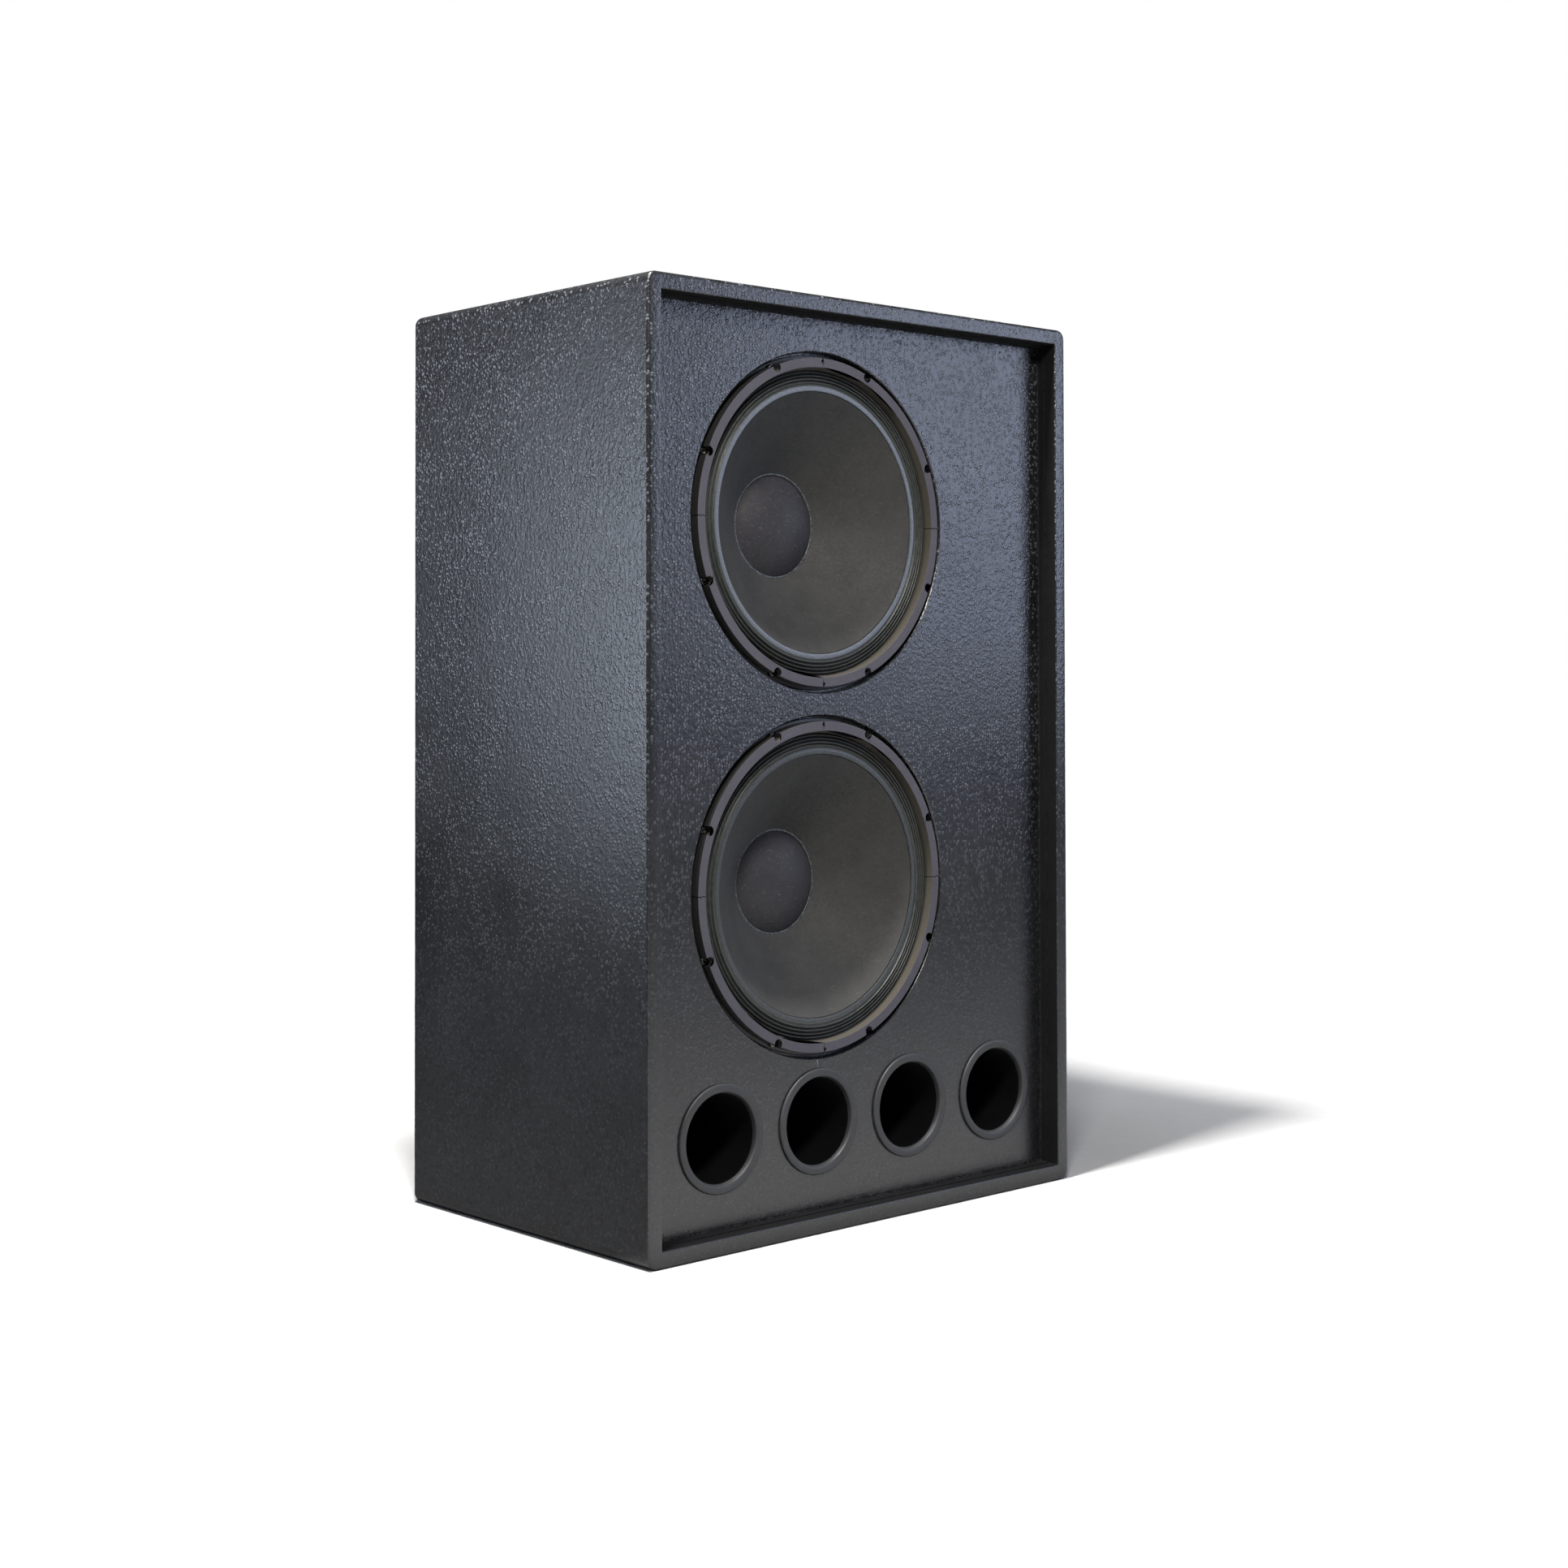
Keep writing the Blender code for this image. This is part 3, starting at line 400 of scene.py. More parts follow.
def makeCoat(name, crowd, boldness, glint, wear):
    material, tree, shader, place = startFinish(name, 0.28, IOR=1.58)
    stipple = useGroup(tree, "stipple", place, Scale=coat["drops"], Drops=crowd)
    worn = useGroup(tree, "edges", place, Width=2.5 * mm, Breakup=110.0)
    marks = useGroup(tree, "scuffs", place, Amount=0.8)
    tone = mixColour(
        tree, rangeNode(tree, stipple["Patches"], 0.35, 0.65), coat["colour"],
        tuple(1.5 * c for c in coat["colour"]),
    )
    height = tree.nodes.new("ShaderNodeSeparateXYZ")
    tree.links.new(place, height.inputs["Vector"])
    # the spray lies flatter near the floor, and the painted crest glints fade there too
    bold = rangeNode(tree, height.outputs["Z"], 0.22, 0.85, 0.16, 1.0)
    # painted shade: the low pits between the drops are darkened
    pitShadeMask = rangeNode(tree, stipple["Height"], 0.30, 0.46, 0.8, 0.0)
    tone = mixColour(tree, pitShadeMask, tone, coat["pitShade"])
    # painted highlight: pale glints on the drop crests
    crests = mathNode(tree, "MULTIPLY", rangeNode(tree, stipple["Height"], 0.66, 0.90, 0.0, glint), bold)
    facing = tree.nodes.new("ShaderNodeSeparateXYZ")
    tree.links.new(tree.nodes.new("ShaderNodeNewGeometry").outputs["Normal"], facing.inputs["Vector"])
    # the painted crest glints are left out on faces turned upwards
    upwardGlintFade = rangeNode(tree, facing.outputs["Z"], 0.4, 0.9, 1.0, 0.08)
    crests = mathNode(tree, "MULTIPLY", crests, upwardGlintFade)
    tone = mixColour(tree, crests, tone, coat["crest"])
    dusty = mixColour(tree, mathNode(tree, "MULTIPLY", worn["Mask"], wear), tone, coat["rubbed"])
    # marks gather low down, where the box is dragged and kicked
    low = rangeNode(tree, height.outputs["Z"], 0.0, 0.06, 1.0, 0.12)
    share = mathNode(tree, "MULTIPLY", marks["Mask"], low)
    tree.links.new(mixColour(tree, share, dusty, coat["scratch"]), shader.inputs["Base Color"])
    rough = mathNode(tree, "ADD", rangeNode(tree, stipple["Patches"], 0.3, 0.7, 0.25, 0.31),
                     mathNode(tree, "MULTIPLY", worn["Mask"], 0.12))
    tree.links.new(rough, shader.inputs["Roughness"])
    relief = mathNode(tree, "MULTIPLY", stipple["Height"], bold)
    roughen(tree, shader, [(relief, boldness, coat["height"])])
    return material


def makePlywood():
    material, tree, shader, place = startFinish("barePlywood", 0.7)
    stretch = tree.nodes.new("ShaderNodeMapping")
    stretch.inputs["Scale"].default_value = (1.0, 1.0, 0.06)
    tree.links.new(place, stretch.inputs["Vector"])
    grain = noiseNode(tree, stretch.outputs["Vector"], 420.0, 5.0, 0.6, 0.4)
    plies = tree.nodes.new("ShaderNodeTexWave")
    plies.bands_direction = "Y"
    fill(plies, Scale=110.0, Distortion=0.6, Detail=1.0)
    tree.links.new(place, plies.inputs["Vector"])
    layered = mixColour(tree, plies.outputs["Fac"], (0.43, 0.30, 0.17), (0.60, 0.45, 0.29))
    tree.links.new(
        mixColour(tree, rangeNode(tree, grain, 0.4, 0.7, 0.0, 0.6), layered, (0.36, 0.23, 0.12)),
        shader.inputs["Base Color"],
    )
    tree.links.new(rangeNode(tree, grain, 0.3, 0.7, 0.62, 0.82), shader.inputs["Roughness"])
    roughen(tree, shader, [(grain, 0.3, 0.2 * mm)])
    return material


def makePaint(name, colour, roughness):
    # powder coat on metal: fine orange peel, rubbed bright at its edges
    material, tree, shader, place = startFinish(name, roughness)
    peel = noiseNode(tree, place, 700.0, 2.0)
    worn = useGroup(tree, "edges", place, Width=0.8 * mm, Breakup=260.0)
    tree.links.new(mixColour(tree, worn["Mask"], colour, (0.22, 0.22, 0.21)), shader.inputs["Base Color"])
    tree.links.new(
        rangeNode(tree, peel, 0.3, 0.7, roughness - 0.06, roughness + 0.08), shader.inputs["Roughness"]
    )
    roughen(tree, shader, [(peel, 0.35, 0.12 * mm)])
    return material


fibreBoard = {
    "face": (0.098, 0.093, 0.112),
    "fleck": (0.20, 0.19, 0.22),
    "side": (0.062, 0.054, 0.042),
    "sideLow": (0.036, 0.032, 0.026),
    "outside": (0.005, 0.005, 0.005),
    "layer": 4.6 * mm,  # depth of the joint between the two plies
}


def makeGasketBoard(prefix):
    # grey-violet board; its cut side is brown in two plies inside and blackened outside
    material, tree, shader, place = startFinish(prefix + "GasketBoard", 0.8)
    fibres = useGroup(tree, "fibres", place, Scale=700.0)
    polar = useGroup(tree, "polar", place, Centre=driverPlace(prefix))
    facing = tree.nodes.new("ShaderNodeSeparateXYZ")
    tree.links.new(tree.nodes.new("ShaderNodeNewGeometry").outputs["Normal"], facing.inputs["Vector"])
    top = rangeNode(tree, mathNode(tree, "MULTIPLY", facing.outputs["Y"], -1.0), 0.45, 0.8)
    depth = tree.nodes.new("ShaderNodeSeparateXYZ")
    tree.links.new(place, depth.inputs["Vector"])
    layerY = faceY + fibreBoard["layer"]
    lower = rangeNode(tree, depth.outputs["Y"], layerY - 0.15 * mm, layerY + 0.15 * mm)
    side = mixColour(tree, lower, fibreBoard["side"], fibreBoard["sideLow"])
    middle = radiusOf(prefix + "_gasket") - 6.5 * mm
    outside = rangeNode(tree, polar["Radius"], middle, middle + 1.5 * mm)
    side = mixColour(tree, outside, side, fibreBoard["outside"])
    speckled = mixColour(
        tree, mathNode(tree, "MULTIPLY", fibres["Flecks"], 0.55), fibreBoard["face"], fibreBoard["fleck"]
    )
    clouded = mixColour(
        tree, rangeNode(tree, fibres["Clouds"], 0.35, 0.65, 0.0, 0.35), speckled, (0.066, 0.062, 0.078)
    )
    tree.links.new(mixColour(tree, top, side, clouded), shader.inputs["Base Color"])
    tree.links.new(rangeNode(tree, fibres["Height"], 0.5, 1.0, 0.72, 0.9), shader.inputs["Roughness"])
    roughen(tree, shader, [(fibres["Height"], 0.5, 0.15 * mm)])
    return material


def makeDopedCloth(prefix):
    # woven cloth soaked in black doping, with painted shade: near black and duller deep in the valleys
    material, tree, shader, place = startFinish(prefix + "DopedCloth", 0.4)
    polar = useGroup(tree, "polar", place, Centre=driverPlace(prefix))
    threads = tree.nodes.new("ShaderNodeTexWave")
    threads.bands_direction = "X"
    fill(threads, Scale=62.0, Distortion=0.4, Detail=1.0)
    tree.links.new(polar["Polar"], threads.inputs["Vector"])
    crossed = tree.nodes.new("ShaderNodeTexWave")
    crossed.bands_direction = "Y"
    fill(crossed, Scale=420.0, Distortion=0.4, Detail=1.0)
    tree.links.new(polar["Polar"], crossed.inputs["Vector"])
    weave = mathNode(tree, "MULTIPLY", threads.outputs["Fac"], crossed.outputs["Fac"])
    blots = noiseNode(tree, place, 160.0, 3.0, 0.6)
    tone = mixColour(tree, rangeNode(tree, blots, 0.35, 0.65), (0.034, 0.039, 0.036), (0.056, 0.061, 0.056))
    depth = tree.nodes.new("ShaderNodeSeparateXYZ")
    tree.links.new(place, depth.inputs["Vector"])
    flat = faceY - outOf(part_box(prefix + "_surround")[0].y) + 1.8 * mm
    # painted shade: near black deep in the valleys between the rolls
    unshadedRidge = rangeNode(tree, depth.outputs["Y"], flat + 0.6 * mm, flat - 1.2 * mm)
    tree.links.new(mixColour(tree, unshadedRidge, (0.003, 0.003, 0.003), tone), shader.inputs["Base Color"])
    rough = rangeNode(tree, blots, 0.3, 0.7, 0.34, 0.52)
    tree.links.new(
        mathNode(tree, "ADD", rough, mathNode(tree, "MULTIPLY", mathNode(tree, "SUBTRACT", 1.0, unshadedRidge), 0.4)),
        shader.inputs["Roughness"],
    )
    roughen(tree, shader, [(weave, 0.25, 0.15 * mm), (blots, 0.2, 0.2 * mm)])
    return material


def makePulp():
    material, tree, shader, place = startFinish("conePulp", 0.85)
    fibres = useGroup(tree, "fibres", place, Scale=300.0)
    base = mixColour(
        tree, rangeNode(tree, fibres["Clouds"], 0.3, 0.7), (0.031, 0.031, 0.030), (0.047, 0.0465, 0.045)
    )
    tree.links.new(
        mixColour(tree, mathNode(tree, "MULTIPLY", fibres["Flecks"], 0.5), base, (0.085, 0.083, 0.078)),
        shader.inputs["Base Color"],
    )
    tree.links.new(rangeNode(tree, fibres["Height"], 0.5, 1.0, 0.62, 0.85), shader.inputs["Roughness"])
    roughen(tree, shader, [(fibres["Height"], 0.45, 0.22 * mm)])
    return material


def makeFelt():
    material, tree, shader, place = startFinish("capFelt", 0.7)
    fibres = useGroup(tree, "fibres", place, Scale=420.0)
    base = mixColour(
        tree, rangeNode(tree, fibres["Clouds"], 0.35, 0.65), (0.021, 0.0195, 0.0235), (0.032, 0.0295, 0.035)
    )
    tree.links.new(
        mixColour(tree, mathNode(tree, "MULTIPLY", fibres["Flecks"], 0.6), base, (0.12, 0.115, 0.125)),
        shader.inputs["Base Color"],
    )
    tree.links.new(rangeNode(tree, fibres["Height"], 0.5, 1.0, 0.52, 0.75), shader.inputs["Roughness"])
    roughen(tree, shader, [(fibres["Height"], 0.6, 0.3 * mm)])
    return material


def makeGlue(name, colour, pale):
    # brushed-on glue, dried in small beads and runs
    material, tree, shader, place = startFinish(name, 0.4)
    runs = noiseNode(tree, place, 420.0, 3.0, 0.6)
    beads = noiseNode(tree, place, 700.0, 2.0)
    tree.links.new(
        mixColour(tree, rangeNode(tree, runs, 0.42, 0.62), colour, pale), shader.inputs["Base Color"]
    )
    tree.links.new(rangeNode(tree, beads, 0.3, 0.7, 0.30, 0.55), shader.inputs["Roughness"])
    roughen(tree, shader, [(runs, 0.5, 0.5 * mm), (beads, 0.3, 0.2 * mm)])
    return material


def makeMoulded(name, colour, roughness, shine=0.5):
    # moulded plastic, and darker copies standing in as painted shade, with a fine grain and a little dust
    material, tree, shader, place = startFinish(name, roughness)
    shader.inputs["Specular IOR Level"].default_value = shine
    grain = noiseNode(tree, place, 1500.0, 2.0)
    dust = noiseNode(tree, place, 30.0, 4.0, 0.6)
    worn = useGroup(tree, "edges", place, Width=0.8 * mm, Breakup=150.0)
    settled = mixColour(
        tree, rangeNode(tree, dust, 0.45, 0.75, 0.0, 0.35), colour, tuple(2.2 * c for c in colour)
    )
    tree.links.new(
        mixColour(tree, mathNode(tree, "MULTIPLY", worn["Mask"], 0.3), settled, (0.12, 0.12, 0.125)),
        shader.inputs["Base Color"],
    )
    tree.links.new(
        rangeNode(tree, dust, 0.3, 0.7, roughness - 0.05, roughness + 0.08), shader.inputs["Roughness"]
    )
    roughen(tree, shader, [(grain, 0.15, 0.08 * mm)])
    return material


def makeBareMetal(name, colour, roughness, stretch):
    # turned or plated metal with fine tool lines along one axis and dull spots
    material, tree, shader, place = startFinish(name, roughness, metallic=1.0)
    lines = tree.nodes.new("ShaderNodeMapping")
    lines.inputs["Scale"].default_value = stretch
    tree.links.new(place, lines.inputs["Vector"])
    brushed = noiseNode(tree, lines.outputs["Vector"], 900.0, 3.0)
    spots = noiseNode(tree, place, 70.0, 4.0, 0.65)
    tree.links.new(
        mixColour(tree, rangeNode(tree, spots, 0.45, 0.7, 0.0, 0.5), colour, tuple(0.55 * c for c in colour)),
        shader.inputs["Base Color"],
    )
    tree.links.new(
        rangeNode(tree, spots, 0.3, 0.7, roughness - 0.08, roughness + 0.15), shader.inputs["Roughness"]
    )
    roughen(tree, shader, [(brushed, 0.2, 0.05 * mm)])
    return material


def makeDull(name, colour, pale, scale, roughness):
    # sintered, rubber or fleece surfaces: matt with soft mottling
    material, tree, shader, place = startFinish(name, roughness)
    mottle = noiseNode(tree, place, scale, 4.0, 0.65)
    mottled = mixColour(tree, rangeNode(tree, mottle, 0.35, 0.7), colour, pale)
    tree.links.new(mottled, shader.inputs["Base Color"])
    tree.links.new(
        rangeNode(tree, mottle, 0.3, 0.7, roughness - 0.1, min(1.0, roughness + 0.06)),
        shader.inputs["Roughness"],
    )
    roughen(tree, shader, [(mottle, 0.4, 0.3 * mm)])
    return material


finish = {
    "coat": makeCoat("blackTexturedCoat", 0.42, 0.55, 0.85, 0.15),
    "boardCoat": makeCoat("boardTexturedCoat", 0.62, 0.55, 0.9, 0.05),
    # painted shade: a darker, duller copy of the coat for the recess walls
    "shadedRecessCoat": makeMoulded("shadedRecessCoat", (0.0045, 0.0045, 0.005), 0.7, 0.15),
    "plywood": makePlywood(),
    "framePaint": makePaint("framePaint", (0.016, 0.016, 0.017), 0.42),
    "platePaint": makePaint("platePaint", (0.020, 0.020, 0.021), 0.45),
    "upperGasket": makeGasketBoard("upper"),
    "lowerGasket": makeGasketBoard("lower"),
    "upperCloth": makeDopedCloth("upper"),
    "lowerCloth": makeDopedCloth("lower"),
    "pulp": makePulp(),
    "felt": makeFelt(),
    "upperGlue": makeGlue("paleGlue", (0.115, 0.130, 0.152), (0.165, 0.182, 0.208)),
    "lowerGlue": makeGlue("dullGlue", (0.042, 0.047, 0.050), (0.066, 0.073, 0.076)),
    "capGlue": makeGlue("capGlue", (0.026, 0.027, 0.030), (0.105, 0.110, 0.118)),
    "portPlastic": makeMoulded("portPlastic", (0.034, 0.035, 0.038), 0.52),
    # painted shade: a near-black copy of the port plastic for inside the tubes
    "shadedTubeInside": makeMoulded("shadedTubeInside", (0.0025, 0.0025, 0.003), 0.8, 0.1),
    "socketPlastic": makeMoulded("socketPlastic", (0.014, 0.014, 0.015), 0.4),
    "boltSteel": makeBareMetal("boltSteel", (0.16, 0.155, 0.15), 0.32, (1.0, 0.1, 1.0)),
    "zincSteel": makeBareMetal("zincSteel", (0.55, 0.53, 0.46), 0.34, (1.0, 0.08, 1.0)),
    "copper": makeBareMetal("coilCopper", (0.72, 0.34, 0.17), 0.34, (0.05, 6.0, 0.05)),
    "ferrite": makeDull("ferrite", (0.028, 0.028, 0.030), (0.045, 0.045, 0.047), 300.0, 0.62),
    "spiderCloth": makeDull("spiderCloth", (0.46, 0.27, 0.08), (0.62, 0.40, 0.15), 800.0, 0.85),
    "leadRubber": makeDull("leadRubber", (0.017, 0.017, 0.018), (0.032, 0.032, 0.033), 500.0, 0.55),
    "fleece": makeDull("wadFleece", (0.60, 0.60, 0.58), (0.80, 0.80, 0.78), 420.0, 0.92),
}
print("finishes built:", len(finish))


# Mesh helpers

def finishMesh(name, bm, material, smoothAngle=38):
    bmesh.ops.recalc_face_normals(bm, faces=bm.faces)
    mesh = bpy.data.meshes.new(name)
    bm.to_mesh(mesh)
    bm.free()
    mesh.shade_smooth()
    mesh.set_sharp_from_angle(angle=math.radians(smoothAngle))
    mesh.materials.append(material)
    piece = bpy.data.objects.new(name, mesh)
    bpy.context.scene.collection.objects.link(piece)
    return piece


def eased(points, steps=4):
    # a closed outline of (u, v) or (u, v, cut): a corner with a cut is rounded from that far before it
    result = []
    for i, point in enumerate(points):
        here = Vector(point[:2])
        if len(point) < 3:
            result.append(tuple(here))
            continue
        before, after = Vector(points[i - 1][:2]), Vector(points[(i + 1) % len(points)][:2])
        start = here + (before - here).normalized() * point[2]
        end = here + (after - here).normalized() * point[2]
        for k in range(steps + 1):
            t = k / steps
            result.append(tuple(start * (1 - t) ** 2 + here * 2 * t * (1 - t) + end * t * t))
    return result


def turnedPiece(name, place, profile, material, segments=144, body="cabinet", replaces=()):
    # a closed (radius, out) outline turned about an axis along Y
    bm = bmesh.new()
    loops = []
    for k in range(segments):
        angle = math.tau * k / segments
        c, s = math.cos(angle), math.sin(angle)
        ring = [(place[0] + r * c, place[1] - out, place[2] + r * s) for r, out in profile]
        loops.append([bm.verts.new(point) for point in ring])
    count = len(profile)
    open_ = profile[0][0] < 1e-6
    for k in range(segments):
        a, b = loops[k], loops[(k + 1) % segments]
        for i in range(count - (1 if open_ else 0)):
            j = (i + 1) % count
            bm.faces.new((a[i], a[j], b[j], b[i]))
    if open_:
        bmesh.ops.remove_doubles(bm, verts=bm.verts, dist=1e-6)
    piece = finishMesh(name, bm, material)
    if body:
        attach(piece, body)
    if replaces:
        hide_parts(*replaces)
    return piece


def sharpen(piece, angle=38):
    # smooth faces, with creases only where they meet at more than the angle
    piece.data.shade_smooth()
    piece.data.set_sharp_from_angle(angle=math.radians(angle))


def settled(piece):
    # the piece with its modifiers applied
    shown = piece.evaluated_get(bpy.context.evaluated_depsgraph_get())
    mesh = bpy.data.meshes.new_from_object(shown)
    old = piece.data
    piece.modifiers.clear()
    piece.data = mesh
    bpy.data.meshes.remove(old)
    return piece


def carve(piece, cutters):
    # takes the cutters out of the piece, then removes them
    for cutter in cutters:
        modifier = piece.modifiers.new(cutter.name, "BOOLEAN")
        modifier.operation = "DIFFERENCE"
        modifier.solver = "EXACT"
        modifier.object = cutter
    settled(piece)
    for cutter in cutters:
        bpy.data.objects.remove(cutter, do_unlink=True)
    return piece


def joinPieces(name, pieces):
    bm = bmesh.new()
    for piece in pieces:
        bm.from_mesh(piece.data)
    mesh = bpy.data.meshes.new(name)
    bm.to_mesh(mesh)
    bm.free()
    for piece in pieces:
        bpy.data.objects.remove(piece, do_unlink=True)
    joined = bpy.data.objects.new(name, mesh)
    bpy.context.scene.collection.objects.link(joined)
    return joined


def flattenWide(mesh, area):
    # wide flat faces keep their own normal beside rounded edges
    for face in mesh.polygons:
        if face.area > area:
            face.use_smooth = False


# The box: one coated skin over the four glued walls

shell = {
    "corner": 12 * mm,  # the four edges from front to back
    "rim": 4 * mm,  # round the front and the back
    "lip": 1.4 * mm,  # inner edge of the front rim
    "stepIn": 1.4 * mm,  # where a grille would seat
    "stepDepth": 17 * mm,
    "fillet": 1.6 * mm,  # coating built up in the corner at the board
    "innerCorner": 1.2 * mm,
    "spacing": 6 * mm,
    "ripple": 0.22 * mm,
}


def shellLoop(inset, y):
    # a rounded rectangle round the box, the same number of points for any inset
    half = Vector((boxHigh.x - inset, 0, (boxHigh.z - boxLow.z) / 2 - inset))
    middle = (boxHigh.z + boxLow.z) / 2
    radius = max(shell["corner"] - inset, shell["innerCorner"])
    across = round(2 * boxHigh.x / shell["spacing"])
    upward = round((boxHigh.z - boxLow.z) / shell["spacing"])
    cornerSteps = 8
    points = []
    sides = ((1, 1, across), (-1, 1, upward), (-1, -1, across), (1, -1, upward))
    for quarter, (sx, sz, count) in enumerate(sides):
        cx, cz = sx * (half.x - radius), sz * (half.z - radius)
        start = math.pi / 2 * quarter
        for k in range(cornerSteps):
            angle = start + math.pi / 2 * k / cornerSteps
            points.append(Vector((cx + radius * math.cos(angle), y, middle + cz + radius * math.sin(angle))))
        corner = start + math.pi / 2
        first = Vector((cx + radius * math.cos(corner), y, middle + cz + radius * math.sin(corner)))
        nx, nz = ((-1, 1), (-1, -1), (1, -1), (1, 1))[quarter]
        last = Vector((
            nx * (half.x - radius) + radius * math.cos(corner), y,
            middle + nz * (half.z - radius) + radius * math.sin(corner),
        ))
        points += [first.lerp(last, k / count) for k in range(count)]
    return points


def makeShell():
    front, back = boxLow.y, boxHigh.y
    t, rim, lip, fillet = wall, shell["rim"], shell["lip"], shell["fillet"]
    step, stepY = t - shell["stepIn"], front + shell["stepDepth"]
    boardFace, panelFace = faceY - 0.06 * mm, backHigh.y + 0.06 * mm
    outline = eased([
        (0, back, rim), (0, front, rim),
        (step, front, lip), (step, stepY), (t, stepY, 0.5 * mm),
        (t, boardFace, fillet), (t + fillet + 1.2 * mm, boardFace), (t, boardFace + 0.05 * mm),
        (t, panelFace - 0.05 * mm), (t + fillet + 1.2 * mm, panelFace), (t, panelFace, fillet),
        (t, back, lip),
    ], steps=5)
    # extra rows along the outer face, so the skin can ripple
    rows = []
    for a, b in zip(outline, outline[1:] + outline[:1]):
        pieces = max(1, round(math.dist(a, b) / (60 * mm)))
        rows += [tuple(Vector(a).lerp(Vector(b), k / pieces)) for k in range(pieces)]
    bm = bmesh.new()
    loops = []
    for inset, y in rows:
        loop = []
        for point in shellLoop(inset, y):
            rounded = inset < 6 * mm and min(y - front, back - y) < 8 * mm
            if rounded:
                bumpy = noise.noise(point * 55) + 0.5 * noise.noise(point * 140)
                inward = Vector((-point.x, 0, (boxHigh.z / 2 - point.z))).normalized()
                depth = shell["ripple"] * (0.75 + 0.5 * bumpy)
                point = point + inward * depth + Vector((0, depth if y < 0 else -depth, 0))
            loop.append(bm.verts.new(point))
        loops.append(loop)
    for a, b in zip(loops, loops[1:] + loops[:1]):
        for k in range(len(a)):
            m = (k + 1) % len(a)
            bm.faces.new((a[k], a[m], b[m], b[k]))
    piece = finishMesh("cabinet_shell", bm, finish["coat"], 42)
    flattenWide(piece.data, 2e-4)
    piece.data.materials.append(finish["shadedRecessCoat"])
    for face in piece.data.polygons:  # painted shade: the recess walls get a darker, duller, smooth black copy of the coat
        x, y, z = face.center
        inset = min(boxHigh.x - abs(x), z, boxHigh.z - z)
        if front + 2 * mm < y < faceY + 1 * mm and inset > step - 0.3 * mm:
            face.material_index = 1
    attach(piece, "cabinet")
    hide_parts("left_side_panel", "right_side_panel", "top_panel", "bottom_panel")


makeShell()
print("box skin made")


# The front board, with a stepped seat for each driver and four port holes

board = {
    "seatLip": 1.6 * mm,
    "seatClearance": 2.2 * mm,
    "seatWidth": 12.5 * mm,
    "underGasket": 3.6 * mm,
    "portHole": 52.3 * mm,  # radius
    "pilotHole": 2.5 * mm,  # radius
}


def boxPiece(name, low, high, material):
    bm = bmesh.new()
    bmesh.ops.create_cube(bm, size=1)
    for point in bm.verts:
        point.co = [(a + b) / 2 + c * (b - a) for a, b, c in zip(low, high, point.co)]
    return finishMesh(name, bm, material)


def cutterAt(name, place, profile, segments):
    return turnedPiece(name, place, profile, finish["boardCoat"], segments, body=None)


def portPlaces():
    return {f"port_tube_{i}": spanOf(f"port_tube_{i}")[2] for i in range(1, 5)}


def makeBoard():
    piece = boxPiece("front_board", boardLow, boardHigh, finish["boardCoat"])
    behind = -(boardHigh.y - boardLow.y) - wall
    cutters = []
    for prefix in drivers:
        seat = radiusOf(prefix + "_basket") + board["seatClearance"]
        floor = outOf(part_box(prefix + "_gasket")[1].y) - board["underGasket"]
        hole = seat - board["seatWidth"]
        lip = board["seatLip"]
        profile = eased([
            (0, wall), (seat + 2 * lip, wall), (seat + 2 * lip, lip * 0.6), (seat + lip, 0.0, lip * 0.55),
            (seat, -lip, lip * 0.6), (seat, floor), (hole, floor), (hole, behind), (0, behind),
        ])
        cutters.append(cutterAt(prefix + "SeatCutter", driverPlace(prefix), profile, 160))
    for name, centre in portPlaces().items():
        radius = board["portHole"]
        cutters.append(cutterAt(
            name + "Cutter", (centre.x, faceY, centre.z),
            [(0, wall), (radius, wall), (radius, behind), (0, behind)], 96,
        ))
    for prefix in drivers:
        for i in range(1, 9):
            _, high, centre = spanOf(f"{prefix}_bolt_{i}")
            tip = outOf(high.y) - gap
            radius = board["pilotHole"]
            cutters.append(cutterAt(
                f"{prefix}Pilot{i}", (centre.x, faceY, centre.z),
                [(0, -6 * mm), (radius, -6 * mm), (radius, tip), (0, tip)], 16,
            ))
    joined = joinPieces("boardCutters", cutters)
    carve(piece, [joined])
    sharpen(piece)
    flattenWide(piece.data, 1e-4)
    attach(piece, "cabinet")
    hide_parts("front_baffle")


makeBoard()
print("front board made")


# Each driver, from the frame's rim to the cap

gasket = {
    "width": 11 * mm,
    "draft": 2 * mm,
    "bevel": 0.45 * mm,
    "notch": 5 * mm,  # radius
    "joint": 0.8 * mm,  # gap between two quarters
    "zigzag": 1.9 * mm,
    "step": 1.1 * mm,  # room for the cloth's edge underneath
}


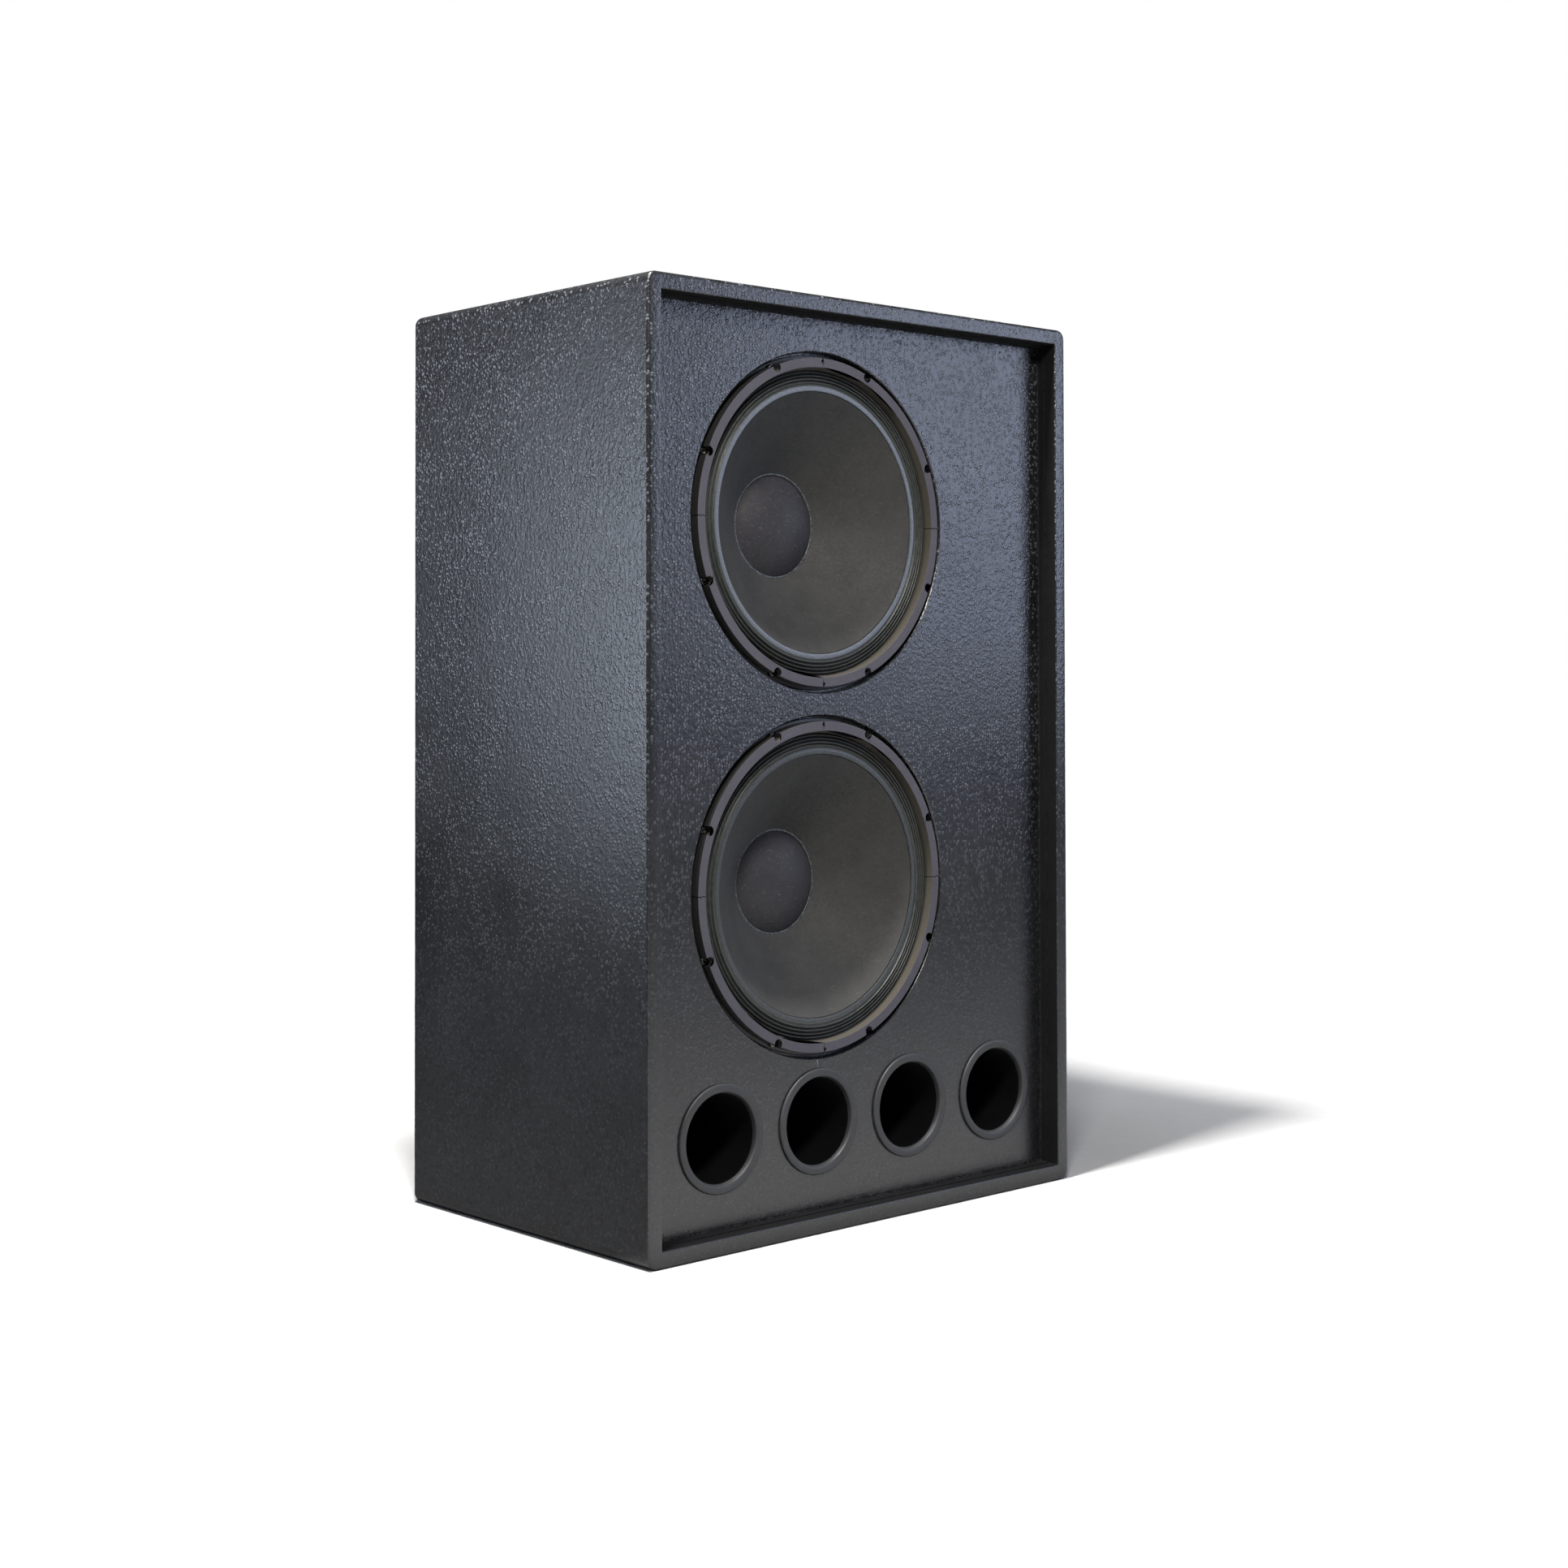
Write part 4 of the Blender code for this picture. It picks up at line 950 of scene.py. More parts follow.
def gasketOutline(prefix, quarter):
    # one quarter seen from the front, as (x, z) round the driver's axis
    outer = radiusOf(prefix + "_gasket")
    inner = outer - gasket["width"]
    boltCircle = math.hypot(
        *(spanOf(f"{prefix}_bolt_1")[2][k] - driverPlace(prefix)[k] for k in (0, 2))
    )
    start, end = math.pi / 2 * quarter, math.pi / 2 * (quarter + 1)
    margin = gasket["joint"] / 2 / outer

    def at(radius, angle):
        return Vector((radius * math.cos(angle), radius * math.sin(angle)))

    points = []
    notches = [start + math.pi / 8, start + 3 * math.pi / 8]
    reach = gasket["notch"] / outer * 1.02
    angle, fine = start + margin, math.radians(1.5)
    edges = []
    for middle in notches:
        edges.append((angle, middle - reach))
        angle = middle + reach
    edges.append((angle, end - margin))
    for k, (a, b) in enumerate(edges):
        steps = max(2, round((b - a) / fine))
        points += [at(outer, a + (b - a) * i / steps) for i in range(steps + 1)]
        if k < 2:
            middle = notches[k]
            centre = at(boltCircle, middle)
            for i in range(11):
                turn = middle - math.pi / 2 - math.pi * i / 10
                points.append(centre + Vector((math.cos(turn), math.sin(turn))) * gasket["notch"])

    def zigzag(angle):
        # the tongue that keys one quarter into the next
        result = []
        for share, sway in ((0.30, 0.0), (0.40, 1.0), (0.50, -0.6), (0.60, 0.0)):
            radius = outer + (inner - outer) * share
            result.append(at(radius, angle + sway * gasket["zigzag"] / radius))
        return result

    points += zigzag(end - margin)
    steps = round((end - start) / fine)
    points += [at(inner, end - margin - (end - start - 2 * margin) * i / steps) for i in range(steps + 1)]
    points += list(reversed(zigzag(start + margin)))
    return points, inner


def insetOutline(points, amount):
    # moves each point inwards along its corner's bisector, for a counter-clockwise outline
    result = []
    for i, here in enumerate(points):
        before, after = points[i - 1], points[(i + 1) % len(points)]
        a, b = (here - before), (after - here)
        if a.length < 1e-9 or b.length < 1e-9:
            result.append(here.copy())
            continue
        a, b = a.normalized(), b.normalized()
        normal = Vector((-a.y - b.y, a.x + b.x))
        normal = normal.normalized() if normal.length > 1e-6 else Vector((-a.y, a.x))
        result.append(here + normal * amount)
    return result


def makeGasket(prefix):
    place = driverPlace(prefix)
    low, high, _ = spanOf(prefix + "_gasket")
    top, bottom = outOf(low.y), outOf(high.y)
    bevel = gasket["bevel"]
    for quarter in range(4):
        points, inner = gasketOutline(prefix, quarter)
        bm = bmesh.new()

        def ring(outline, out, drafted=0.0):
            made = []
            for point in outline:
                inside = point.length < inner + 1.0 * mm
                scaled = point * (1 - drafted / point.length) if inside else point
                made.append(bm.verts.new((place.x + scaled.x, place.y - out, place.z + scaled.y)))
            return made

        rings = [
            ring(points, bottom + gasket["step"], gasket["draft"]),
            ring(points, top - bevel),
            ring(insetOutline(points, bevel * 0.3), top - bevel * 0.3),
            ring(insetOutline(points, bevel), top),
        ]
        for a, b in zip(rings, rings[1:]):
            for k in range(len(a)):
                m = (k + 1) % len(a)
                bm.faces.new((a[k], a[m], b[m], b[k]))
        bm.faces.new(rings[-1])
        bm.faces.new(list(reversed(rings[0])))
        bmesh.ops.triangulate(bm, faces=[f for f in bm.faces if len(f.verts) > 4])
        piece = finishMesh(f"{prefix}_gasket_quarter_{quarter + 1}", bm, finish[prefix + "Gasket"], 18)
        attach(piece, "cabinet")
        if quarter == 0:
            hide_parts(prefix + "_gasket")


for prefix in drivers:
    makeGasket(prefix)
print("gaskets made")


surround = {"rolls": 4.5, "swing": 1.55 * mm, "thickness": 0.8 * mm, "rise": 2.4 * mm}


def sheetOutline(line, thickness):
    # closes the upper line of a thin sheet with its underside
    return list(line) + [(radius, out - thickness) for radius, out in reversed(line)]


def blendRadially(piece, place, cabinetRadius, coneRadius):
    # the outer edge stays, the inner edge moves with the cone, and the rolls share the travel
    weights = piece.data.attributes["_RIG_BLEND"].data
    for point, weight in zip(piece.data.vertices, weights):
        radius = math.hypot(point.co.x - place.x, point.co.z - place.z)
        share = (cabinetRadius - radius) / (cabinetRadius - coneRadius)
        weight.value = min(1.0, max(0.0, share))


def makeSurround(prefix):
    place = driverPlace(prefix)
    low = spanOf(prefix + "_surround")[0]
    lap = radiusOf(prefix + "_surround")
    coneRim = radiusOf(prefix + "_cone")
    outer = radiusOf(prefix + "_gasket") - gasket["width"] - gasket["draft"] + 0.5 * mm
    flat = outOf(low.y) - 1.8 * mm  # the crests reach the frame's height
    steps, line = 110, [(lap - 0.4 * mm, flat), (outer, flat)]
    width = outer - coneRim
    for k in range(1, steps):
        share = k / steps
        turn = math.tau * surround["rolls"] * share
        ease = min(1.0, 6 * share, 6 * (1 - share))
        level = flat + surround["rise"] * share
        line.append((outer - width * share, level - surround["swing"] * ease * math.sin(turn)))
    line += [(coneRim, flat + surround["rise"]), (coneRim - 5.4 * mm, flat + surround["rise"])]
    piece = turnedPiece(
        prefix + "_pleated_edge", place, sheetOutline(line, surround["thickness"]),
        finish[prefix + "Cloth"], 180, body=None, replaces=[prefix + "_surround"],
    )
    body = prefix + "_cone_body"
    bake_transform(piece, "cabinet", body, start=place + Vector((lap, 0, 0)), end=place + Vector((coneRim, 0, 0)))
    blendRadially(piece, place, outer, coneRim)


cone = {"thickness": 1.8 * mm, "apron": 7.5 * mm, "glueWidth": 5.6 * mm, "glueHeight": 0.7 * mm}


def coneLine(prefix):
    # the cone's front face as (radius, out), read from its rim and its neck
    low, high, _ = spanOf(prefix + "_cone")
    rim, top = radiusOf(prefix + "_cone"), outOf(low.y) + surround["rise"]
    start = rim - cone["apron"]
    neck = radiusOf(prefix + "_voice_coil") + 0.6 * mm
    bottom = outOf(high.y) + cone["thickness"]
    return rim, top, start, neck, bottom


def coneOut(prefix, radius):
    _, top, start, neck, bottom = coneLine(prefix)
    return top + (bottom - top) * (start - radius) / (start - neck)


def makeCone(prefix):
    rim, top, start, neck, bottom = coneLine(prefix)
    line = [(rim, top), (start, top)]
    steps = 40
    for k in range(1, steps + 1):
        line.append((start + (neck - start) * k / steps, top + (bottom - top) * k / steps))
    body = prefix + "_cone_body"
    place = driverPlace(prefix)
    turnedPiece(
        prefix + "_paper_cone", place, sheetOutline(line, cone["thickness"]), finish["pulp"], 180,
        body=body, replaces=[prefix + "_cone"],
    )
    # the glued lap of the pleated edge, brushed over with sealing glue
    outside, inside = rim - 0.3 * mm, rim - cone["glueWidth"] - 0.5 * mm
    base = outOf(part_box(prefix + "_surround")[0].y) - 1.75 * mm + surround["rise"]
    bead = [(outside, base)]
    steps = 9
    for k in range(1, steps):
        turn = math.pi * k / steps
        middle, half = (outside + inside) / 2, (outside - inside) / 2
        bead.append((middle + half * math.cos(turn), base + cone["glueHeight"] * math.sin(turn) ** 0.6))
    bead += [(inside, base), (inside + 0.2 * mm, top + 0.15 * mm), (outside, top + 0.15 * mm)]
    glue = finish[prefix + "Glue"]
    turnedPiece(prefix + "_edge_glue", place, bead, glue, 180, body=body)


cap = {"thickness": 1.2 * mm, "bead": 1.5 * mm}


def makeCap(prefix):
    low, high, _ = spanOf(prefix + "_dust_cap")
    rim, top, base = radiusOf(prefix + "_dust_cap"), outOf(low.y), outOf(high.y)
    height = top - base
    ball = (rim ** 2 + height ** 2) / (2 * height)
    span = math.asin(rim / ball)
    centre, shellRadius, steps = top - ball, ball - cap["thickness"], 22
    angles = [span * k / steps for k in range(steps + 1)]
    outside = [(ball * math.sin(a), centre + ball * math.cos(a)) for a in angles]
    inside = [(shellRadius * math.sin(a), centre + shellRadius * math.cos(a)) for a in reversed(angles)]
    body, place = prefix + "_cone_body", driverPlace(prefix)
    turnedPiece(
        prefix + "_felt_cap", place, outside + inside, finish["felt"], 120,
        body=body, replaces=[prefix + "_dust_cap"],
    )
    # the thin glue line round the cap's foot
    middle = rim + 0.7 * mm
    on = coneOut(prefix, middle)
    bead = []
    for k in range(12):
        turn = math.tau * k / 12
        out = on + 0.4 * mm + 0.6 * cap["bead"] * math.sin(turn)
        bead.append((middle + cap["bead"] * math.cos(turn), out))
    turnedPiece(prefix + "_cap_glue", place, bead, finish["capGlue"], 140, body=body)


basket = {
    "metal": 3 * mm,
    "flange": 15.5 * mm,
    "windows": 8,
    "windowAngle": 34,
    "ledgeWidth": 5 * mm,
    "riserInset": 16 * mm,
    "underSpider": 1.9 * mm,
    "boltHole": 2.8 * mm,  # radius
}


def makeBasket(prefix):
    place = driverPlace(prefix)
    low, high, _ = spanOf(prefix + "_basket")
    rim, top, bottom = radiusOf(prefix + "_basket"), outOf(low.y), outOf(high.y)
    m = basket["metal"]
    wallRadius = rim - basket["flange"]
    ledge = radiusOf(prefix + "_spider") + basket["ledgeWidth"]
    riser = radiusOf(prefix + "_spider") - basket["riserInset"]
    spiderBack = outOf(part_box(prefix + "_spider")[1].y)
    ledgeOut = spiderBack + basket["underSpider"]
    slope = outOf(boardHigh.y) - m
    plateHole = radiusOf(prefix + "_voice_coil") + 2 * m
    profile = eased([
        (rim, top, 0.9 * mm), (rim, top - m, 0.9 * mm), (wallRadius + m, top - m),
        (wallRadius + m, slope, 2 * mm),
        (ledge + m, ledgeOut - m, 2 * mm), (riser + m, ledgeOut - m), (riser + m, bottom, 1 * mm),
        (plateHole, bottom), (plateHole, bottom + m), (riser, bottom + m, 1 * mm), (riser, ledgeOut, 1 * mm),
        (ledge, ledgeOut, 1.5 * mm), (wallRadius, slope + m / 2, 2 * mm), (wallRadius, top, 0.8 * mm),
    ], steps=3)
    piece = turnedPiece(prefix + "_cast_basket", place, profile, finish["framePaint"], 144, body=None)
    half = math.radians(basket["windowAngle"] / 2)
    near, far = place.y - slope + 8 * mm, place.y - ledgeOut - 11 * mm
    cutters = []
    for k in range(basket["windows"]):
        turn = math.tau * k / basket["windows"]
        corners = []
        for r, side in ((riser + m, -1), (rim, -1), (rim, 1), (riser + m, 1)):
            u, v = r, side * r * math.tan(half)
            corners.append((
                place.x + u * math.cos(turn) - v * math.sin(turn),
                place.z + u * math.sin(turn) + v * math.cos(turn),
            ))
        bm = bmesh.new()
        front = [bm.verts.new((x, near, z)) for x, z in corners]
        rear = [bm.verts.new((x, far, z)) for x, z in corners]
        bm.faces.new(front)
        bm.faces.new(list(reversed(rear)))
        for i in range(4):
            j = (i + 1) % 4
            bm.faces.new((front[i], rear[i], rear[j], front[j]))
        cutters.append(finishMesh(f"{prefix}Window{k}", bm, finish["framePaint"]))
    hole = basket["boltHole"]
    for k in range(1, 9):
        centre = spanOf(f"{prefix}_bolt_{k}")[2]
        cutters.append(cutterAt(
            f"{prefix}BoltHole{k}", (centre.x, faceY, centre.z),
            [(0, top + m), (hole, top + m), (hole, top - 2 * m), (0, top - 2 * m)], 24,
        ))
    carve(piece, [joinPieces(prefix + "BasketCutters", cutters)])
    sharpen(piece)
    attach(piece, "cabinet")
    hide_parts(prefix + "_basket")


bolt = {
    "head": 3.5 * mm,
    "shank": 2.2 * mm,  # radius
    "socket": 2.6 * mm,
    "socketDepth": 1.9 * mm,
    "chamfer": 0.5 * mm,
}


def makeBolts(prefix):
    for k in range(1, 9):
        node = f"{prefix}_bolt_{k}"
        low, high, centre = spanOf(node)
        head, top, tip = radiusOf(node), outOf(low.y), outOf(high.y)
        seat, shank = top - bolt["head"], bolt["shank"]
        place = (centre.x, faceY, centre.z)
        profile = eased([
            (0, top), (head, top, bolt["chamfer"]), (head, seat), (shank, seat), (shank, tip, 0.5 * mm),
            (0, tip),
        ], steps=3)
        piece = turnedPiece(f"{prefix}_cap_bolt_{k}", place, profile, finish["boltSteel"], 36, body=None)
        hexagon = cutterAt(f"{prefix}Hex{k}", place, [
            (0, top + 1 * mm), (bolt["socket"], top + 1 * mm), (bolt["socket"], top - bolt["socketDepth"]),
            (0, top - bolt["socketDepth"]),
        ], 6)
        hexagon.data.shade_flat()
        carve(piece, [hexagon])
        sharpen(piece, 30)
        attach(piece, "cabinet")
        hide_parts(node)


spider = {"waves": 7, "swing": 1.5 * mm, "thickness": 0.7 * mm}


def makeSpider(prefix):
    low, high, _ = spanOf(prefix + "_spider")
    outer, inner = radiusOf(prefix + "_spider"), radiusOf(prefix + "_voice_coil") + 0.6 * mm
    flat = (outOf(low.y) + outOf(high.y)) / 2 + 0.35 * mm
    first, last = inner + 4 * mm, outer - 17 * mm
    line, steps = [(outer, flat), (last, flat)], 90
    for k in range(1, steps):
        share = k / steps
        ease = min(1.0, 6 * share, 6 * (1 - share))
        sway = math.sin(math.tau * spider["waves"] * share)
        line.append((last + (first - last) * share, flat + spider["swing"] * ease * sway))
    line += [(first, flat), (inner, flat)]
    place = driverPlace(prefix)
    piece = turnedPiece(
        prefix + "_centring_disc", place, sheetOutline(line, spider["thickness"]), finish["spiderCloth"], 120,
        body=None, replaces=[prefix + "_spider"],
    )
    body = prefix + "_cone_body"
    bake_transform(piece, "cabinet", body, start=place + Vector((outer, 0, 0)), end=place + Vector((first, 0, 0)))
    blendRadially(piece, place, last, first)


def ringOutline(node, inner, ease):
    low, high, _ = spanOf(node)
    outer, top, bottom = radiusOf(node), outOf(low.y), outOf(high.y)
    corners = ((outer, top), (outer, bottom), (inner, bottom), (inner, top))
    return eased([(*corner, ease) for corner in corners], steps=3)


motor = {
    "coilWall": 1.4 * mm,
    "winding": 17 * mm,
    "proud": 0.5 * mm,  # the winding stands out from its former
    "plateGap": 1.4 * mm,
    "magnetGap": 9.6 * mm,
    "poleGap": 2.8 * mm,
    "vent": 20 * mm,  # radius
}


def makeMotor(prefix):
    place, body = driverPlace(prefix), prefix + "_cone_body"
    coil = radiusOf(prefix + "_voice_coil")
    low, high, _ = spanOf(prefix + "_voice_coil")
    top, bottom, inner = outOf(low.y), outOf(high.y), coil - motor["coilWall"]
    former, windingTop, soft = coil - motor["proud"], bottom + motor["winding"], 0.3 * mm
    line = [
        (former, top), (former, windingTop), (coil, windingTop - soft), (coil, bottom + soft),
        (former, bottom), (inner, bottom), (inner, top),
    ]
    turnedPiece(prefix + "_coil_winding", place, line, finish["copper"], 120, body=body,
                replaces=[prefix + "_voice_coil"])
    bore = coil + motor["plateGap"]
    turnedPiece(prefix + "_front_plate", place, ringOutline(prefix + "_top_plate", bore, 0.8 * mm),
                finish["zincSteel"], 120, replaces=[prefix + "_top_plate"])
    ring = ringOutline(prefix + "_magnet", coil + motor["magnetGap"], 1.6 * mm)
    turnedPiece(prefix + "_ring_magnet", place, ring,
                finish["ferrite"], 120, replaces=[prefix + "_magnet"])
    low, high, _ = spanOf(prefix + "_yoke")
    outer, top, bottom = radiusOf(prefix + "_yoke"), outOf(low.y), outOf(high.y)
    base = outOf(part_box(prefix + "_magnet")[1].y) - gap
    pole, vent = coil - motor["poleGap"], motor["vent"]
    outline = eased([
        (pole, top, 1 * mm), (pole, base, 1 * mm), (outer, base, 0.8 * mm), (outer, bottom, 2.5 * mm),
        (vent, bottom, 2.5 * mm), (vent, top, 2 * mm),
    ], steps=3)
    turnedPiece(prefix + "_yoke_and_pole", place, outline, finish["zincSteel"], 120,
                replaces=[prefix + "_yoke"])


terminal = {"softEdge": 0.8 * mm, "slotHalf": 0.6 * mm, "slotDepth": 3 * mm, "spread": 0.3, "length": 0.34}


def makeTerminals(prefix):
    # a moulded strip with a slot for a tab on each side of its lead
    low, high, centre = spanOf(prefix + "_terminal_strip")
    strip = boxPiece(prefix + "_terminal_block", low, high, finish["socketPlastic"])
    bevel = strip.modifiers.new("softEdges", "BEVEL")
    bevel.width, bevel.segments = terminal["softEdge"], 3
    settled(strip)
    deep = (high.y - low.y) * terminal["length"]
    slots = []
    for side in (-1, 1):
        z = centre.z + side * (high.z - low.z) * terminal["spread"]
        slots.append(boxPiece(
            "slot", (high.x - terminal["slotDepth"], centre.y - deep, z - terminal["slotHalf"]),
            (high.x + 1 * mm, centre.y + deep, z + terminal["slotHalf"]), finish["socketPlastic"],
        ))
    carve(strip, slots)
    sharpen(strip)
    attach(strip, "cabinet")
    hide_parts(prefix + "_terminal_strip")


for prefix in drivers:
    makeSurround(prefix)
    makeCone(prefix)
    makeCap(prefix)
    makeBasket(prefix)
    makeBolts(prefix)
    makeSpider(prefix)
    makeMotor(prefix)
    makeTerminals(prefix)
    print(prefix, "driver made")


# Ports, with a rounded flange on the board and a dull tube behind it, darkened inside as painted shade

port = {"tubeWall": 3 * mm, "flange": 8 * mm, "flangeRadius": 2.6 * mm}


def makePorts():
    for name, centre in portPlaces().items():
        low, high, _ = spanOf(name)
        edge, top, back = radiusOf(name), outOf(low.y), outOf(high.y)
        outside = edge - port["flange"]
        bore = outside - port["tubeWall"]
        profile = eased([
            (outside, back), (outside, 0.3 * mm), (edge, 0.3 * mm, 0.4 * mm),
            (edge, top, port["flangeRadius"]), (edge - 6.2 * mm, top, 1.4 * mm),
            (bore + 1.4 * mm, top - 0.9 * mm, 2.0 * mm), (bore, -4 * mm, 2.5 * mm), (bore, back),
        ], steps=6)
        piece = turnedPiece(
            name.replace("port_tube", "port_flange"), (centre.x, faceY, centre.z), profile,
            finish["portPlastic"], 120, replaces=[name],
        )
        piece.data.materials.append(finish["shadedTubeInside"])
        for face in piece.data.polygons:  # painted shade: the tube's walls are dull and nearly black, far darker than the flange
            deep = outOf(face.center.y) < -3 * mm
            if deep and math.hypot(face.center.x - centre.x, face.center.z - centre.z) < bore + 1 * mm:
                face.material_index = 1


makePorts()
print("ports made")


# Back: panel, connector plate, sockets and the leads inside

rear = {
    "screw": 3.6 * mm,  # radius of a screw's head
    "screwInset": 7 * mm,
    "crossLong": 2.0 * mm,
    "crossThin": 0.45 * mm,
    "socketFlange": 2.5 * mm,
    "core": 6.2 * mm,  # radius
}


def paintNodes(names, material):
    for name in names:
        data = frame["nodes"][name].data
        data.materials.clear()
        data.materials.append(material)


def makeRear():
    paintNodes(["back_panel"], finish["coat"])
    paintNodes(["input_plate"], finish["platePaint"])
    low, high, _ = spanOf("input_plate")
    top = high.y
    k = 0
    for x in (low.x + rear["screwInset"], high.x - rear["screwInset"]):
        for z in (low.z + rear["screwInset"], high.z - rear["screwInset"]):
            k += 1
            r = rear["screw"]
            crown, foot = outOf(top + 1.5 * mm), outOf(top + 0.05 * mm)
            dome = eased([
                (0, crown), (r * 0.6, crown), (r, outOf(top + 0.7 * mm), 0.5 * mm), (r, foot), (0, foot),
            ])
            screw = turnedPiece(f"plate_screw_{k}", (x, faceY, z), dome, finish["boltSteel"], 32, body=None)
            cross = []
            long, thin = rear["crossLong"], rear["crossThin"]
            for a, b in ((long, thin), (thin, long)):
                start, end = (x - a, top + 0.8 * mm, z - b), (x + a, top + 3 * mm, z + b)
                cross.append(boxPiece("cross", start, end, finish["boltSteel"]))
            carve(screw, cross)
            sharpen(screw, 30)
            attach(screw, "cabinet")
    for side in ("left", "right"):
        node = side + "_socket"
        low, high, centre = spanOf(node)
        flange, back, front = radiusOf(node), outOf(high.y), outOf(low.y)
        body, bore = flange - 3 * mm, flange - 5 * mm
        floor, shoulder = front + 2 * mm, back + rear["socketFlange"]
        outline = eased([
            (0, floor), (bore, floor), (bore, back, 0.8 * mm), (flange, back, 1.0 * mm), (flange, shoulder),
            (body, shoulder), (body, front), (0, front),
        ], steps=4)
        turnedPiece(side + "_lock_socket", (centre.x, faceY, centre.z), outline, finish["socketPlastic"], 72,
                    replaces=[node])
        # the keyed core inside the socket
        r, tip, root = rear["core"], back + 4 * mm, floor + 0.2 * mm
        core = eased([(0, tip), (r, tip, 0.8 * mm), (r, root), (0, root)])
        place = (centre.x, faceY, centre.z)
        piece = turnedPiece(side + "_socket_core", place, core, finish["socketPlastic"], 48, body=None)
        slots = []
        for half, start, end in ((0.9 * mm, -8 * mm, -3.6 * mm), (1.3 * mm, 3.6 * mm, 8 * mm)):
            slots.append(boxPiece(
                "slot", (centre.x - half, high.y - 9 * mm, centre.z + start),
                (centre.x + half, high.y + 1 * mm, centre.z + end), finish["socketPlastic"],
            ))
        carve(piece, slots)
        sharpen(piece)
        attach(piece, "cabinet")


makeRear()
battens = [f"{side}_{row}_batten" for side in ("left", "right") for row in ("front", "back")]
paintNodes(["window_brace", *battens], finish["plywood"])
paintNodes(["upper_lead", "lower_lead"], finish["leadRubber"])
print("back and inside made")


# Wadding: soft pads with pulled-in edges and a lumpy face

pad = {"cells": 34, "edge": 26 * mm, "lump": 3.2 * mm}


def makeWadding(prefix):
    low, high, _ = spanOf(prefix + "_wadding")
    bm = bmesh.new()
    bmesh.ops.create_cube(bm, size=1)
    bmesh.ops.subdivide_edges(bm, edges=bm.edges[:], cuts=pad["cells"] // 2, use_grid_fill=True)
    thick = high.y - low.y
    for point in bm.verts:
        u, v, w = point.co.x * 2, point.co.z * 2, point.co.y * 2  # -1 to 1
        x = (low.x + high.x) / 2 + u * (high.x - low.x) / 2
        z = (low.z + high.z) / 2 + v * (high.z - low.z) / 2
        near = min(min(high.x - x, x - low.x), min(high.z - z, z - low.z))
        soft = min(1.0, max(0.0, near / pad["edge"]))
        crown = 0.30 + 0.70 * math.sqrt(max(0.0, 1 - (1 - soft) ** 2))
        lump = noise.noise(Vector((x, 0, z)) * 28) * pad["lump"]
        height = (thick - pad["lump"]) * crown + lump * soft
        share = (1 - w) / 2  # 0 on the panel, 1 on the free face
        point.co = Vector((x, high.y - max(0.2 * mm, height * share), z))
    piece = finishMesh(prefix + "_fleece_pad", bm, finish["fleece"], 80)
    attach(piece, "cabinet")
    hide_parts(prefix + "_wadding")


for prefix in drivers:
    makeWadding(prefix)
print("wadding made")


# Floor, lights and backdrop

studio = {
    "floor": 0.55,
    "bounce": 0.10,  # what the floor gives back to the box
    "clearFrom": 0.5,  # the floor brightens into the white backdrop from this radius
    "clearTo": 3.2,
    "surroundings": 0.09,
}


